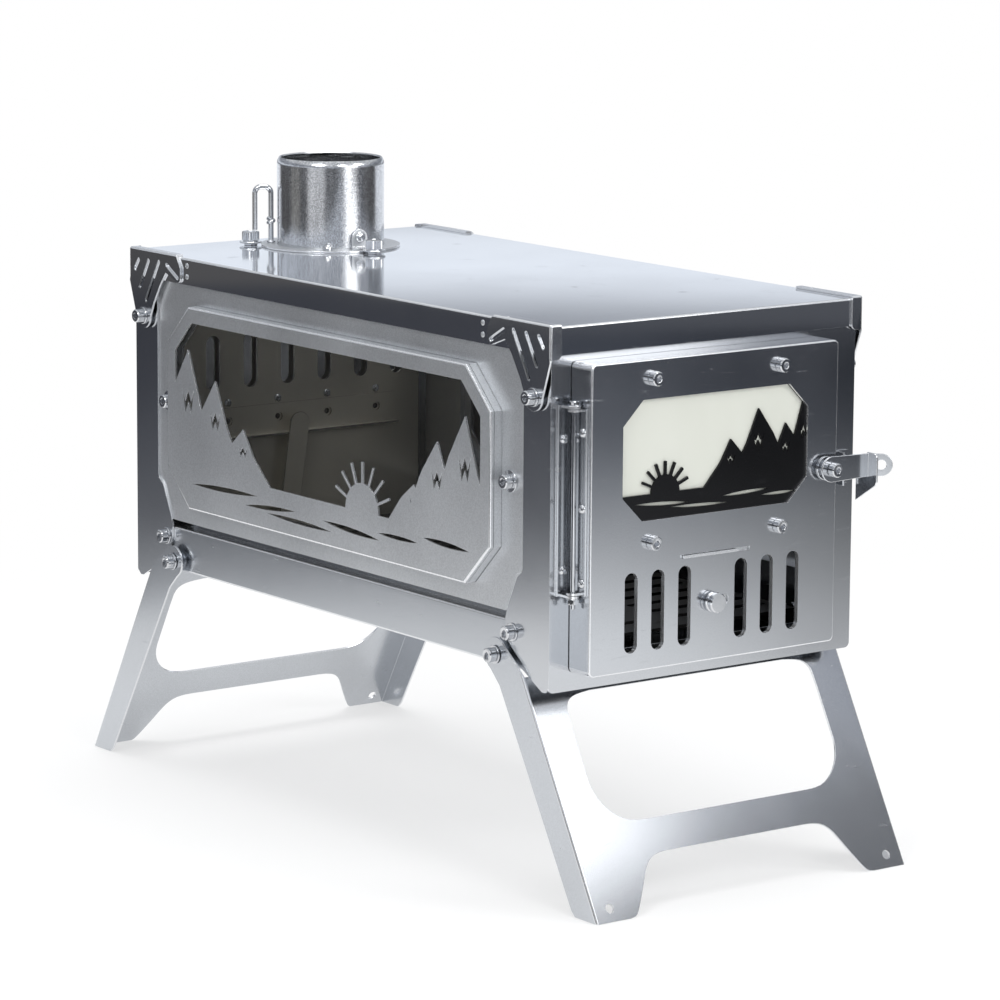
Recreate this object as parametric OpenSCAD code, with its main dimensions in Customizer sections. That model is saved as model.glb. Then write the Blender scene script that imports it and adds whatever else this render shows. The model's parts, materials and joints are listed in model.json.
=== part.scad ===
// Folding tent wood stove: a sheet-steel fire box with a glazed door and two
// glazed sides, an air slide in the door, a flue collar on the cooking plate
// and two bent-plate legs that fold flat under the box.
// The door faces -Y, the flue stands at the rear and z = 0 is the floor.
// x = 0 and y = 0 are the middle planes of the fire box. Millimetres.

/* [Fire box] */
// Width across the lid
body_w = 200; // [196:1:230]
// Length of the lid, front to back
body_l = 384; // [380:1:430]
// Height of the cooking surface above the floor
top_z = 292; // [288:1:310]
// Height of the front panel's lower edge above the floor
body_bottom_z = 108; // [106:1:110]
// Thickness of the steel sheet
sheet_t = 1.2; // [1:0.1:1.4]
// Depth of the lid's folded lip, from the cooking surface down
lid_lip_h = 14.5; // [12:0.5:16]
// Part of the front and rear lips left out at each corner
lid_lip_short = 5; // [4:0.5:6]
// Clearance between two sheets that lie on each other
fit_gap = 0.1; // [0.05:0.05:0.2]
// Clearance between parts that move past each other
move_gap = 0.3; // [0.3:0.05:0.4]

/* [Corner posts] */
// Width of the post strip on the side of the box
post_w = 22; // [20:0.5:24]
// Width of the post's widened foot
post_foot_w = 36.6; // [34:0.2:38]
// Height where the foot starts to widen, above the panel's lower edge
post_foot_h = 57; // [54:1:60]

/* [Base pan] */
// Height of the pan's underside above the floor
pan_z = 116; // [115:0.5:117]
// Height of the pan's side walls
pan_wall_h = 24; // [22:1:26]
// Height of the pan's end walls
pan_end_h = 8; // [6:1:10]
// Width of the lip folded in along the side walls
pan_lip_w = 8; // [6:1:10]
// Dark gap between the pan's side wall and the side panel
pan_gap = 4.2; // [3:0.2:5]

/* [Side windows] */
// Distance of the window housing's ends from the lid's ends
win_end = 42.5; // [42:0.5:52]
// Height of the window housing
win_h = 112; // [100:1:114]
// Height of the window's centre above the floor
win_z = 210.6; // [208:0.2:212]
// Length cut off each corner of the housing
win_cut = 21.5; // [15:0.5:25]
// How far the housing wall stands out of the side panel
win_wall_h = 4.6; // [4:0.1:5]
// How far the screen's cap stands out past the wall, with its joint
win_cap_h = 2.6; // [2.4:0.1:3]
// Thickness of the ceramic glass
glass_t = 4; // [3.5:0.1:4]
// Width of the solid margin round the screen's picture
screen_margin = 8.5; // [7:0.5:10]

/* [Door] */
// Width of the front panel that the door leaves free
door_free_w = 40.6; // [40:0.2:45]
// Height of the door
door_h = 156.9; // [154:0.1:158]
// Place of the door's middle, left of the box's middle
door_off = 6.5; // [6:0.1:7]
// Height of the door's lower edge above the floor
door_z = 117.2; // [117:0.1:118]
// Distance from the front panel to the door's face
door_depth = 16.6; // [16:0.1:17]
// Clearance between the door's walls and the front panel
door_gap = 0.5; // [0.4:0.05:0.6]
// Width of the door's face on each side of its window
pane_side_w = 19.9; // [19:0.1:25]
// Height of the door's face above its window
pane_head = 20.1; // [18:0.1:24]
// Height of the door's face below its window
pane_sill = 75.8; // [73:0.1:79]
// Length cut off each corner of the window
pane_cut = 12.5; // [10:0.5:14]

/* [Air slide] */
// Number of air slots on each side of the knob
slots_per_side = 3; // [2:1:3]
// Distance between neighbouring slots
slot_pitch = 17.1; // [17:0.1:17.4]
// Width of an air slot
slot_w = 8.2; // [7:0.1:8.4]
// Height of an air slot
slot_h = 40.8; // [36:0.2:41]
// Travel of the slide
slide_travel = 8.5; // [8:0.1:8.6]
// Diameter of the slide's knob
knob_d = 10.3; // [9:0.1:11]
// Height of the slide's knob
knob_h = 5.7; // [5:0.1:6.5]

/* [Flue collar] */
// Outside diameter of the collar
flue_d = 60; // [58:1:62]
// Height of the collar above the cooking surface
flue_h = 50.1; // [45:0.1:55]
// Distance of the collar's axis from the lid's rear end
flue_from_rear = 49.1; // [48:0.1:52]
// Outside diameter of the collar's flange
flue_flange_d = 78; // [76:1:80]
// Radius of the rolled-in rim
flue_rim_r = 6; // [4:0.5:8]

/* [Legs] */
// Distance of the leg's fold axis from the lid's end
leg_pivot_in = 42; // [41.5:0.1:42.5]
// Height of the leg's fold axis above the floor
leg_pivot_z = 121.5; // [121:0.1:122]
// Slope of the leg plate, from the floor
leg_slope = 61.3; // [61:0.1:61.6]
// Distance of the leg plate's outer face from the fold axis
leg_plate_d = 16.56; // [16.2:0.02:16.8]
// Angle through which a leg folds
leg_fold = 118.7; // [118:0.1:119]
// Depth of the leg's side flanges at the foot
leg_flange_d = 17; // [16:0.5:18]

/* [Hidden] */
$fn = 48;
tiny = 0.01;
full_turn = 360;

// Planes of the box: outer faces of panels, side sheets and lid
panel_x = body_w / 2 - sheet_t - fit_gap;
panel_y = body_l / 2 - sheet_t - fit_gap;
panel_in_y = panel_y - sheet_t;
side_x = panel_x - sheet_t - fit_gap;
side_in_x = side_x - sheet_t;
field_h = 0.4;
field_x = side_x + field_h;
lid_under_z = top_z - sheet_t;
door_w = body_w - door_free_w;
pane_half_w = door_w / 2 - pane_side_w;
pane_h = door_h - pane_head - pane_sill;
pane_z = door_z + pane_sill + pane_h / 2;
win_half_l = body_l / 2 - win_end;
flue_y = body_l / 2 - flue_from_rear;
leg_pivot_y = body_l / 2 - leg_pivot_in;
panel_top_z = lid_under_z - fit_gap;
corner_r = 3;
side_bottom_z = pan_z + pan_wall_h + pan_gap;
tongue_clear = 5.5;
tongue_y = panel_in_y - tongue_clear;

// Socket cap screws, washers and nuts
screw_r = 2;
screw_hole_r = 2.15;
cap_r = 3.7;
cap_h = 4.4;
socket_r = 1.75;
socket_d = 2.4;
washer_t = 0.8;
washer_r = 4.7;
nut_r = 4;
nut_h = 3;
thread_gap = 0.02;
seat_gap = 0.05;
low_cap_r = 2.4;
low_cap_h = 1.6;
small_screw_r = 1.4;
small_hole_r = 1.5;
small_nut_r = 2.9;
small_nut_h = 2;

// Post outline, as distances from the panel's outer face and lower edge
post_neck = [23.1, 57.5];
post_shoulder = [26.5, 55];
post_flare = [34, 39.5];
post_lobe_top = [36.1, 33];
post_lobe_low = [35.4, 23];
post_sole = [29.5, 13];
post_toe = [5.5, 0];
post_clear = 1.3;

// Corner brackets, as distances from the bracket's outer face and the lid
bracket_x = body_w / 2 + seat_gap;
bracket_y = body_l / 2 + seat_gap;
bracket_out_x = bracket_x + sheet_t;
bracket_out_y = bracket_y + sheet_t;
bracket_z = top_z + seat_gap;
bracket_top_z = bracket_z + sheet_t;
bracket_flange_w = 5;
bracket_tab_w = 7;
bracket_tab_h = 16.4;
bracket_wing = 47.5;
bracket_brow_z = 5.8;
bracket_lobe = [49.2, 11.4];
bracket_lobe_r = 2.7;
bracket_waist = [37.3, 9.8];
bracket_hip = [31.4, 17];
bracket_thigh = [24.5, 28];
bracket_tail = [13.8, 36];
bracket_tail_r = 7;
bracket_slots = [
    [[49.2, 11.4], [38.5, 5.4]],
    [[30.3, 4.6], [17.3, 27]],
    [[19.8, 5], [11.1, 20]],
    [[9.5, 5.4], [6, 10.4]]
];
bracket_slot_r = 1.25;
bracket_dot = [37.3, 2.6];
bracket_dot_r = 0.9;
rivet_y = body_l / 2 - 56;
rivet_zs = [4, 10];
rivet_r = 1.5;
rivet_h = 0.5;
rivet_hole_r = 1.1;

// Side windows
frame_wall_x = field_x + win_wall_h;
cap_face_x = frame_wall_x + win_cap_h;
cap_joint = 0.3;
cap_in_x = cap_face_x - sheet_t;
frame_back_x = side_in_x - fit_gap - sheet_t;
frame_margin = 6;
frame_clear = 0.15;
ledge_w = 7;
ledge_x = field_x + fit_gap;
pane_x = ledge_x + sheet_t + fit_gap;
skirt_t = 0.8;
skirt_x = frame_wall_x - 1.8;
pane_inset = 2.4;
win_bolt_y = win_half_l + 7.7;
win_ear_r = 6.5;
big_washer_r = 5.8;
big_washer_t = 1;

// Door
door_x = -door_off;
door_face_y = -panel_y - door_depth;
door_in_y = door_face_y + sheet_t;
door_back_y = -panel_y - door_gap;
door_left_x = door_x - door_w / 2;
door_right_x = door_x + door_w / 2;
door_mid_z = door_z + door_h / 2;
door_lap = 8.2;
pane_lap = 3.6;
door_bolt_x = pane_half_w - 18.8;
door_bolt_h = pane_h / 2 + 10.8;
door_plate_half_w = pane_half_w + 5.2;
door_plate_half_h = pane_h / 2 + 16.1;
door_plate_cut = 10;
door_plate_z = pane_z - 0.4;
door_screen_y = door_in_y + fit_gap;
door_glass_y = door_screen_y + sheet_t + fit_gap;
door_clamp_y = door_glass_y + glass_t + fit_gap;

// Air slide: the slots start each side of the knob, which sits off centre
knob_x = -8.4;
knob_z = 147.4;
slot_first_x = 18.9;
slot_left_x = knob_x + 1.3 - slot_first_x;
slot_right_x = knob_x + slot_first_x;
slot_z = 147.2;
stem_r = 1.9;
stem_slot_h = 5;
stem_slot_clear = 0.4;
slide_y = door_in_y + move_gap;
guide_y = door_in_y + fit_gap;
slide_edge = 5;
slide_foot_z = 121.5;
slide_tab_z = 171.7;
slide_tab_x = -27.7;
slide_tab_l = 35;
slide_tab_out = 1.8;
slit_clear = 0.3;
guide_lip = 3.2;
guide_t = 1.1;
guide_edge = 1.8;
guide_over = 4;

// Hinge
pin_x = door_left_x - 3.5;
pin_y = -panel_y - 7.3;
pin_r = 1.25;
pin_hole_r = 1.3;
pin_end_z = 151;
pin_cap_r = 2.8;
pin_cap_h = 2;
pin_washer_r = 3.4;
pin_washer_t = 0.6;
pin_nut_r = 3;
pin_nut_h = 2.6;
leaf_low_z = 157;
leaf_high_z = 253;
leaf_left_x = pin_x - 4.9;
leaf_right_x = pin_x + 2.4;
fixed_ear_r = 3.2;
leaf_y = -panel_y - fit_gap;
leaf_out_y = leaf_y - sheet_t;
fixed_screw_x = pin_x - 1.7;
fixed_screw_zs = [170, 236];
door_leaf_x = door_left_x - fit_gap;
door_leaf_out_x = door_leaf_x - sheet_t;
door_leaf_front_y = -panel_y - 13.8;
door_leaf_back_y = -panel_y - 3.3;
door_ear_r = 3.2;
door_screw_y = -panel_y - 11.5;
door_screw_zs = [164.5, 202, 240];

// Latch: a bar on a shoulder screw, a hook plate across its end and a grip
latch_x = door_right_x - 7.2;
latch_z = pane_z - 15.2;
latch_r = 6.65;
latch_bore_r = 2.05;
latch_disc_r = 6.2;
latch_disc_t = 0.8;
latch_spacer_r = 4;
latch_spacer_t = 2.8;
latch_disc_y = door_face_y - seat_gap - latch_disc_t;
latch_spacer_y = latch_disc_y - seat_gap - latch_spacer_t;
latch_y = latch_spacer_y - move_gap - sheet_t;
hook_x = panel_x - 8.5;
bar_end_h = 12;
hook_top = 6.6;
hook_front = 6.4;
hook_front_low = 8;
hook_chin = [-5.2, -10.3];
hook_heel = [9.6, -19.7];
hook_neck = -8;
hook_corner_r = 2.4;
grip_turn = 37;
grip_l = 7;
grip_r = 5.85;
grip_hole_r = 2.6;
keeper_left_x = panel_x - 13.8;
keeper_right_x = panel_x - 4.7;
keeper_low_z = latch_z - 12.3;
keeper_h = 17.3;
keeper_out = 8;
keeper_screw_x = panel_x - 8.3;
keeper_screw_zs = [keeper_low_z + 4, keeper_low_z + 13.3];

// Flue collar
flue_r = flue_d / 2;
flue_hole_r = flue_r - 2.5;
flange_z = top_z + seat_gap;
tube_z = flange_z;
flange_r = flue_flange_d / 2;
flue_rim_turn = 41;
stud_ring_r = 44.8;
stud_angles = [144, -92, 26];
stud_r = 2;
stud_hole_r = 2.15;
stud_nut_r = 4.2;
stud_nut_h = sheet_t;
stud_washer_r = 6.3;
stud_washer_t = 0.9;
thumb_r = 4.85;
thumb_h = 5.6;
thumb_grooves = 24;
groove_from_share = 0.12;
groove_r = 0.35;
notch_r = 6.2;
tab_angles = [-93, 87];
tab_w = 10;
tab_h = 11;
tab_foot = 5;
tab_hole_z = 6.6;
tab_cap_r = 3.2;
tab_cap_h = 2.2;
flange_screw_angles = [-127, 53];
flange_screw_r = 34.2;
flange_cap_r = 2.8;
flange_cap_h = 3.4;

// Wire loop beside the collar
wire_r = 1.5;
wire_angle = 143;
wire_in_r = 33.4;
wire_out_r = 42.4;
wire_top_h = 34.2;
wire_end_h = 8.4;
wire_bend_r = 3.4;
coil_wire_r = 1.1;
wire_coil_h = 12.8;
wire_coil_r = 1.5;
wire_coil_pitch = 2.3;
wire_hole_r = wire_r + seat_gap;
wire_collar_r = 2.4;
wire_collar_h = 1;

// Legs: places on the plate as (distance in from its side, distance up the slope)
leg_out_x = panel_x + 2.8;
leg_in_x = leg_out_x - sheet_t;
leg_stop_gap = 0.3;
leg_arch = [
    [21, -1.2], [21, 0], [25.3, 0.6], [28, 3.8], [34.3, 14],
    [38.3, 21.1], [41.3, 25.6], [45.7, 29], [51.5, 30.3], [57, 30.5]
];
leg_window = [
    [50, 48.2], [43.5, 48.3], [36.5, 49.7], [30.7, 53], [25.8, 58.1], [22.5, 63.8],
    [20.8, 70.5], [20.8, 79], [20.8, 108], [22, 112.9], [25.2, 115.8], [30.5, 117.2],
    [38, 118]
];
ease_share = 0.25;
leg_shoulder_s = 129.5;
leg_shoulder = [[leg_out_x - 6, 129.5], [leg_out_x - 7.5, 130.8]];
leg_peg_x = leg_out_x - 10.5;
leg_peg_s = 7;
leg_peg_r = 2.4;
leg_heel_s = 12.5;
leg_heel_short = 3.2;
leg_brow = [-17.2, -2.2];
leg_nape = [-3.8, -15.4];
leg_ear_from = [-7.2, 5];
leg_ear_to = [4.2, -7.7];
leg_ear_r = 8.8;
leg_spacer_r = 4.6;
leg_bolt_y = leg_pivot_y + 10.4;
rail_bolt_z = leg_pivot_z + 12.8;

// Inside the fire box
liner_y = panel_in_y - 3.5;
liner_half_w = side_in_x - 4.2;
pan_curb_l = liner_y - 2;
pan_curb_over = 1.8;
liner_slot_share = 0.276;
liner_slot_pitch = liner_half_w * liner_slot_share;
liner_slot_w = 9.4;
liner_slot_low = 208.4;
liner_slot_high = 239.5;
liner_slot_n = 3;
liner_screw_n = 2;
liner_screw_off = 7;
liner_screw_share = 0.37;
liner_screw_xs = [
    for (i = [-liner_screw_n:liner_screw_n])
        i * liner_half_w * liner_screw_share - liner_screw_off
];
liner_screw_z = 200.5;
rail_low_z = 180;
rail_high_z = 197.7;
rail_left_x = 6 - liner_half_w;
rail_right_x = liner_half_w - 18;
rail_flange = 6;
rail_hole_r = 2.5;
rail_hole_z = 190;
strap_w = 13;
strap_top = [3.6, 186];
strap_foot = [-4, 133];
inlet_low = 126;
inlet_high = 150;
grate_half_w = side_in_x - 18.2;
grate_back_y = panel_in_y - 17.5;
grate_front_y = -grate_back_y;
grate_end = 12;
grate_side = 9;
grate_h = 11;
grate_t = 1.5;
grate_slot_w = 6;
grate_slot_l = grate_half_w - 20;
grate_slot_pitch = 17;
grate_slot_n = floor((grate_back_y - grate_end) / grate_slot_pitch);

// Placing helpers

// A flat shape drawn in (y, z), raised along X from x0 to x0 + t
module facing_x(x0, t) {
    translate([x0, 0, 0])
        rotate([90, 0, 90])
            linear_extrude(t)
                children();
}

// A flat shape drawn in (x, z), raised along Y from y0 to y0 + t
module facing_y(y0, t) {
    translate([0, y0 + t, 0])
        rotate([90, 0, 0])
            linear_extrude(t)
                children();
}

// A flat shape drawn in (x, y), raised along Z from z0 to z0 + t
module facing_z(z0, t) {
    translate([0, 0, z0])
        linear_extrude(t)
            children();
}

// Turn a piece drawn along +Z so that it points out of the box
module point_left() { rotate([0, -90, 0]) children(); }
module point_front() { rotate([90, 0, 0]) children(); }

module both_sides() {
    children();
    mirror([1, 0, 0]) children();
}

module both_ends() {
    children();
    mirror([0, 1, 0]) children();
}

// Shape helpers

function octagon_points(a, b, c) = [
    [-a, -b + c], [-a + c, -b], [a - c, -b], [a, -b + c],
    [a, b - c], [a - c, b], [-a + c, b], [-a, b - c]
];

// Octagon with half sizes a and b and corners cut by c, shrunk by d all round
module octagon(a, b, c, d = 0) {
    corner_keep = 2 - sqrt(2);
    polygon(octagon_points(a - d, b - d, c - d * corner_keep));
}

module box_2d(x0, y0, x1, y1) {
    translate([x0, y0]) square([x1 - x0, y1 - y0]);
}

module round_box_2d(x0, y0, x1, y1, r) {
    box_2d(x0 + r, y0, x1 - r, y1);
    box_2d(x0, y0 + r, x1, y1 - r);
    for (x = [x0 + r, x1 - r], y = [y0 + r, y1 - r])
        translate([x, y]) circle(r);
}

// Straight slot with round ends between two points
module slot_2d(p, q, r) {
    dx = q[0] - p[0];
    dy = q[1] - p[1];
    len = norm([dx, dy]);
    translate(p)
        rotate(atan2(dy, dx)) {
            circle(r);
            translate([len, 0]) circle(r);
            translate([0, -r]) square([len, 2 * r]);
        }
}

module tube(r_out, r_in, h) {
    difference() {
        cylinder(r = r_out, h = h);
        translate([0, 0, -h]) cylinder(r = r_in, h = 3 * h);
    }
}

// Socket cap screw: head above z = 0, shank below
module cap_screw(shank_l, head_r = cap_r, head_h = cap_h, r = screw_r,
                 hex_r = socket_r, hex_d = socket_d) {
    difference() {
        cylinder(r = head_r, h = head_h);
        translate([0, 0, head_h - hex_d])
            cylinder(r = hex_r, h = head_h, $fn = 6);
    }
    translate([0, 0, -shank_l]) cylinder(r = r, h = shank_l + tiny);
}

module small_screw(shank_l) {
    hex_share = 0.6;
    cap_screw(shank_l, low_cap_r, low_cap_h, small_screw_r,
              small_screw_r * hex_share, low_cap_h / 2);
}

// Hex nut with its top face at z = 0, below the joint
module hex_nut(r, h, bore_r) {
    difference() {
        translate([0, 0, -h]) cylinder(r = r, h = h, $fn = 6);
        translate([0, 0, -2 * h]) cylinder(r = bore_r + thread_gap, h = 3 * h);
    }
}

// Cap screw with a washer under the head and a nut on the far side of a joint
module bolt_set(joint_t, disc_r = washer_r, disc_t = washer_t) {
    nut_at = joint_t + seat_gap;
    shank_l = nut_at + nut_h + disc_t + seat_gap;
    translate([0, 0, seat_gap]) tube(disc_r, screw_r + fit_gap, disc_t);
    translate([0, 0, disc_t + 2 * seat_gap]) cap_screw(shank_l);
    translate([0, 0, -nut_at]) hex_nut(nut_r, nut_h, screw_r);
}

// Low screw with a nut on the far side of a joint
module small_bolt_set(joint_t) {
    nut_at = joint_t + seat_gap;
    translate([0, 0, seat_gap]) small_screw(nut_at + small_nut_h + seat_gap);
    translate([0, 0, -nut_at]) hex_nut(small_nut_r, small_nut_h, small_screw_r);
}

// Picture cut in the side screens and the door's screen:
// hills, snow-capped peaks and a half sun with rays

peak_cap_share = 0.34;
peak_zig_share = 0.2;
ray_n = 7;
ray_w = 1.4;
ray_to_share = 1.75;

// Mountain with its foot at z = foot
module peak(x, top, half_w, foot) {
    shoulder_share = 0.45;
    step_share = 0.1;
    h = top - foot;
    polygon([
        [x - half_w, foot],
        [x - half_w * shoulder_share, foot + h * (1 - shoulder_share - step_share)],
        [x - half_w * (shoulder_share - step_share), foot + h * (1 - shoulder_share)],
        [x, top],
        [x + half_w * shoulder_share, foot + h * (1 - shoulder_share + step_share)],
        [x + half_w * (shoulder_share + step_share), foot + h * (1 - shoulder_share)],
        [x + half_w, foot]
    ]);
}

// Zigzag snow line cut across a mountain, with bridges at its flanks
module snow_line(x, top, half_w, foot) {
    h = top - foot;
    w = half_w * peak_cap_share;
    z = top - h * peak_cap_share;
    zig = h * peak_zig_share;
    thick = zig / 2;
    polygon([
        [x - w / 2, z], [x - w / 4, z - zig], [x, z - thick],
        [x + w / 4, z - zig], [x + w / 2, z],
        [x + w / 4, z - zig + thick], [x, z], [x - w / 4, z - zig + thick]
    ]);
}

module snowy_peak(x, h, half_w, foot) {
    difference() {
        peak(x, foot + h, half_w, foot);
        snow_line(x, foot + h, half_w, foot);
    }
}

// Long thin lens, as a gap between two layers of ground
module ground_gap(x, z, half_l, half_t, turn) {
    r = (half_l * half_l + half_t * half_t) / (2 * half_t);
    translate([x, z])
        rotate(turn)
            intersection() {
                translate([0, half_t - r]) circle(r, $fn = 144);
                translate([0, r - half_t]) circle(r, $fn = 144);
            }
}

// Half sun on the horizon
module half_sun(x, z, r) {
    intersection() {
        translate([x, z]) circle(r);
        box_2d(x - r, z, x + r, z + r);
    }
}

// Side screen picture in (y, z); the open sky is what this leaves out.
// Peaks: share of the half length, height above the ground, half width.
// Gaps: share of the half length, depth below the ground, half length, half height, turn.
side_ground_z = win_z - 32.6;
side_sun_share = -0.254;
side_sun = [side_sun_share * win_half_l, side_ground_z];
side_sun_r = 15;
side_peaks = [
    [0.856, 65, 34], [0.676, 51, 30], [0.495, 28, 26],
    [-0.562, 21, 22], [-0.696, 46, 28], [-0.856, 62, 30]
];
side_gaps = [
    [0.615, 7.5, 32, 1.4, -2], [0.321, 11, 24, 1.2, -4], [0.134, 14.5, 30, 1.2, 1],
    [-0.187, 11.5, 26, 1.4, 3], [-0.468, 9, 18, 1.1, 0], [-0.749, 6, 20, 1.4, 2]
];

module side_land() {
    for (p = side_peaks)
        snowy_peak(p[0] * win_half_l, p[1], p[2], side_ground_z);
    half_sun(side_sun[0], side_sun[1], side_sun_r);
    sun_rays(side_sun, side_sun_r);
}

// Rays of the sun
module sun_rays(at, r) {
    ray_turn = 180 / (ray_n + 1);
    for (i = [1:ray_n])
        translate(at)
            rotate(i * ray_turn)
                translate([0, -ray_w / 2]) square([r * ray_to_share, ray_w]);
}

module side_sky() {
    low = side_ground_z - (win_z - win_h / 2);
    difference() {
        translate([0, win_z])
            octagon(win_half_l, win_h / 2, win_cut, screen_margin);
        box_2d(-win_half_l, win_z - win_h / 2, win_half_l, win_z - win_h / 2 + low);
        side_land();
    }
}

module side_picture() {
    side_sky();
    for (g = side_gaps)
        ground_gap(g[0] * win_half_l, side_ground_z - g[1], g[2], g[3], g[4]);
}

// Door picture in (x, z), with its lists as those of the side picture
door_ground_z = pane_z - 17.5;
door_sun_share = -0.527;
door_sun = [door_x + door_sun_share * pane_half_w, door_ground_z];
door_sun_r = 9;
door_peaks = [
    [0.176, 23, 17], [0.477, 37, 21], [0.778, 28, 17], [0.978, 41, 16]
];
door_gaps = [
    [-0.56, 5.5, 18, 0.9, -3], [-0.159, 8.5, 20, 0.8, -2], [0.343, 5, 16, 0.9, 2],
    [0.711, 7.5, 12, 0.8, 0]
];

module door_picture() {
    difference() {
        translate([door_x, pane_z])
            octagon(pane_half_w + fit_gap, pane_h / 2 + fit_gap, pane_cut);
        box_2d(door_x - door_plate_half_w, pane_z - pane_h,
               door_x + door_plate_half_w, door_ground_z);
        for (p = door_peaks)
            snowy_peak(door_x + p[0] * pane_half_w, p[1], p[2], door_ground_z);
        half_sun(door_sun[0], door_sun[1], door_sun_r);
        sun_rays(door_sun, door_sun_r);
    }
    for (g = door_gaps)
        ground_gap(door_x + g[0] * pane_half_w, door_ground_z - g[1], g[2], g[3], g[4]);
}

// Lid and its corner brackets

module top_plate() {
    hw = body_w / 2;
    hl = body_l / 2;
    lip_z = top_z - lid_lip_h;
    color("lightsteelblue")
    difference() {
        union() {
            facing_z(lid_under_z, sheet_t) box_2d(-hw, -hl, hw, hl);
            for (x = [-hw, hw - sheet_t])
                facing_z(lip_z, lid_lip_h) box_2d(x, -hl, x + sheet_t, hl);
            for (y = [-hl, hl - sheet_t])
                facing_z(lip_z, lid_lip_h)
                    box_2d(lid_lip_short - hw, y, hw - lid_lip_short, y + sheet_t);
        }
        translate([0, flue_y, lid_under_z - sheet_t])
            cylinder(r = flue_hole_r, h = 3 * sheet_t, $fn = 96);
        at_studs() cylinder(r = stud_hole_r, h = 4 * sheet_t, center = true);
        for (a = flange_screw_angles)
            at_flue(a, flange_screw_r)
                translate([0, 0, lid_under_z - sheet_t])
                    cylinder(r = small_hole_r, h = 3 * sheet_t);
        both_sides() both_ends()
            for (z = rivet_zs)
                translate([-hw, -rivet_y, top_z - z])
                    rotate([0, 90, 0])
                        cylinder(r = rivet_hole_r, h = 4 * sheet_t, center = true);
    }
}

module bracket_outline() {
    y0 = bracket_out_y;
    z0 = top_z;
    difference() {
        union() {
            polygon([
                [-y0, bracket_top_z],
                [-y0 + bracket_wing, bracket_top_z],
                [-y0 + bracket_lobe[0] + bracket_lobe_r, z0 - bracket_brow_z],
                [-y0 + bracket_lobe[0] + bracket_lobe_r, z0 - bracket_lobe[1]],
                [-y0 + bracket_lobe[0], z0 - bracket_lobe[1] - bracket_lobe_r],
                [-y0 + bracket_waist[0], z0 - bracket_waist[1]],
                [-y0 + bracket_hip[0], z0 - bracket_hip[1]],
                [-y0 + bracket_thigh[0], z0 - bracket_thigh[1]],
                [-y0 + bracket_tail[0] + bracket_tail_r, z0 - bracket_tail[1]],
                [-y0 + bracket_tail[0] - bracket_tail_r, z0 - bracket_tail[1]],
                [-y0, z0 - bracket_tab_h]
            ]);
            translate([-y0 + bracket_lobe[0], z0 - bracket_lobe[1]])
                circle(bracket_lobe_r);
            translate([-y0 + bracket_tail[0], z0 - bracket_tail[1]])
                circle(bracket_tail_r);
        }
        for (s = bracket_slots)
            slot_2d([-y0 + s[0][0], z0 - s[0][1]], [-y0 + s[1][0], z0 - s[1][1]],
                    bracket_slot_r);
        translate([-y0 + bracket_tail[0], z0 - bracket_tail[1]])
            circle(screw_hole_r);
    }
}

// Front left bracket; the others are its mirror images
module bracket() {
    color("silver") {
        facing_x(-bracket_out_x, sheet_t) bracket_outline();
        difference() {
            facing_z(bracket_z, sheet_t)
                box_2d(-bracket_out_x, -bracket_out_y,
                       bracket_flange_w - bracket_out_x, bracket_wing - bracket_out_y);
            translate([bracket_dot[1] - bracket_out_x,
                       bracket_dot[0] - bracket_out_y, bracket_z - sheet_t])
                cylinder(r = bracket_dot_r, h = 3 * sheet_t);
        }
        facing_y(-bracket_out_y, sheet_t)
            difference() {
                union() {
                    box_2d(-bracket_out_x, top_z - bracket_tab_h + corner_r,
                           bracket_tab_w - bracket_out_x, bracket_top_z);
                    box_2d(-bracket_out_x, top_z - bracket_tab_h,
                           bracket_tab_w - bracket_out_x - corner_r, bracket_top_z);
                    translate([bracket_tab_w - bracket_out_x - corner_r,
                               top_z - bracket_tab_h + corner_r])
                        circle(corner_r);
                }
            }
    }
}

module bracket_front_left() { bracket(); }
module bracket_front_right() { mirror([1, 0, 0]) bracket(); }
module bracket_rear_left() { mirror([0, 1, 0]) bracket(); }
module bracket_rear_right() { mirror([0, 1, 0]) mirror([1, 0, 0]) bracket(); }

module at_bracket_tails() {
    both_sides() both_ends()
        translate([-bracket_out_x, -bracket_out_y + bracket_tail[0],
                   top_z - bracket_tail[1]])
            point_left() children();
}

// Tail bolts, each with the spacer that fills the step to the post
module bracket_bolts() {
    step = bracket_x - panel_x;
    joint = bracket_out_x - side_in_x;
    color("gainsboro")
    at_bracket_tails() {
        bolt_set(joint);
        translate([0, 0, -sheet_t - step + seat_gap])
            tube(washer_r, screw_r + fit_gap, step - 2 * seat_gap);
    }
}

module lid_rivets() {
    color("silver")
    both_sides() both_ends()
        for (z = rivet_zs)
            translate([-body_w / 2 - seat_gap, -rivet_y, top_z - z])
                point_left() {
                    cylinder(r = rivet_r, h = rivet_h);
                    translate([0, 0, -sheet_t])
                        cylinder(r = rivet_hole_r - seat_gap, h = sheet_t + tiny);
                }
}

// Box panels

// Post's side wall in (y, z) for the front end
module post_outline() {
    y0 = -panel_y;
    z0 = body_bottom_z;
    polygon([
        [y0, panel_top_z],
        [y0 + post_w, panel_top_z],
        [y0 + post_w, z0 + post_foot_h + corner_r],
        [y0 + post_neck[0], z0 + post_neck[1]],
        [y0 + post_shoulder[0], z0 + post_shoulder[1]],
        [y0 + post_flare[0], z0 + post_flare[1]],
        [y0 + post_lobe_top[0], z0 + post_lobe_top[1]],
        [y0 + post_lobe_low[0], z0 + post_lobe_low[1]],
        [y0 + post_sole[0], z0 + post_sole[1]],
        [y0 + post_toe[0], z0 + post_toe[1]],
        [y0 + corner_r, z0],
        [y0, z0 + corner_r]
    ]);
}

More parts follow.
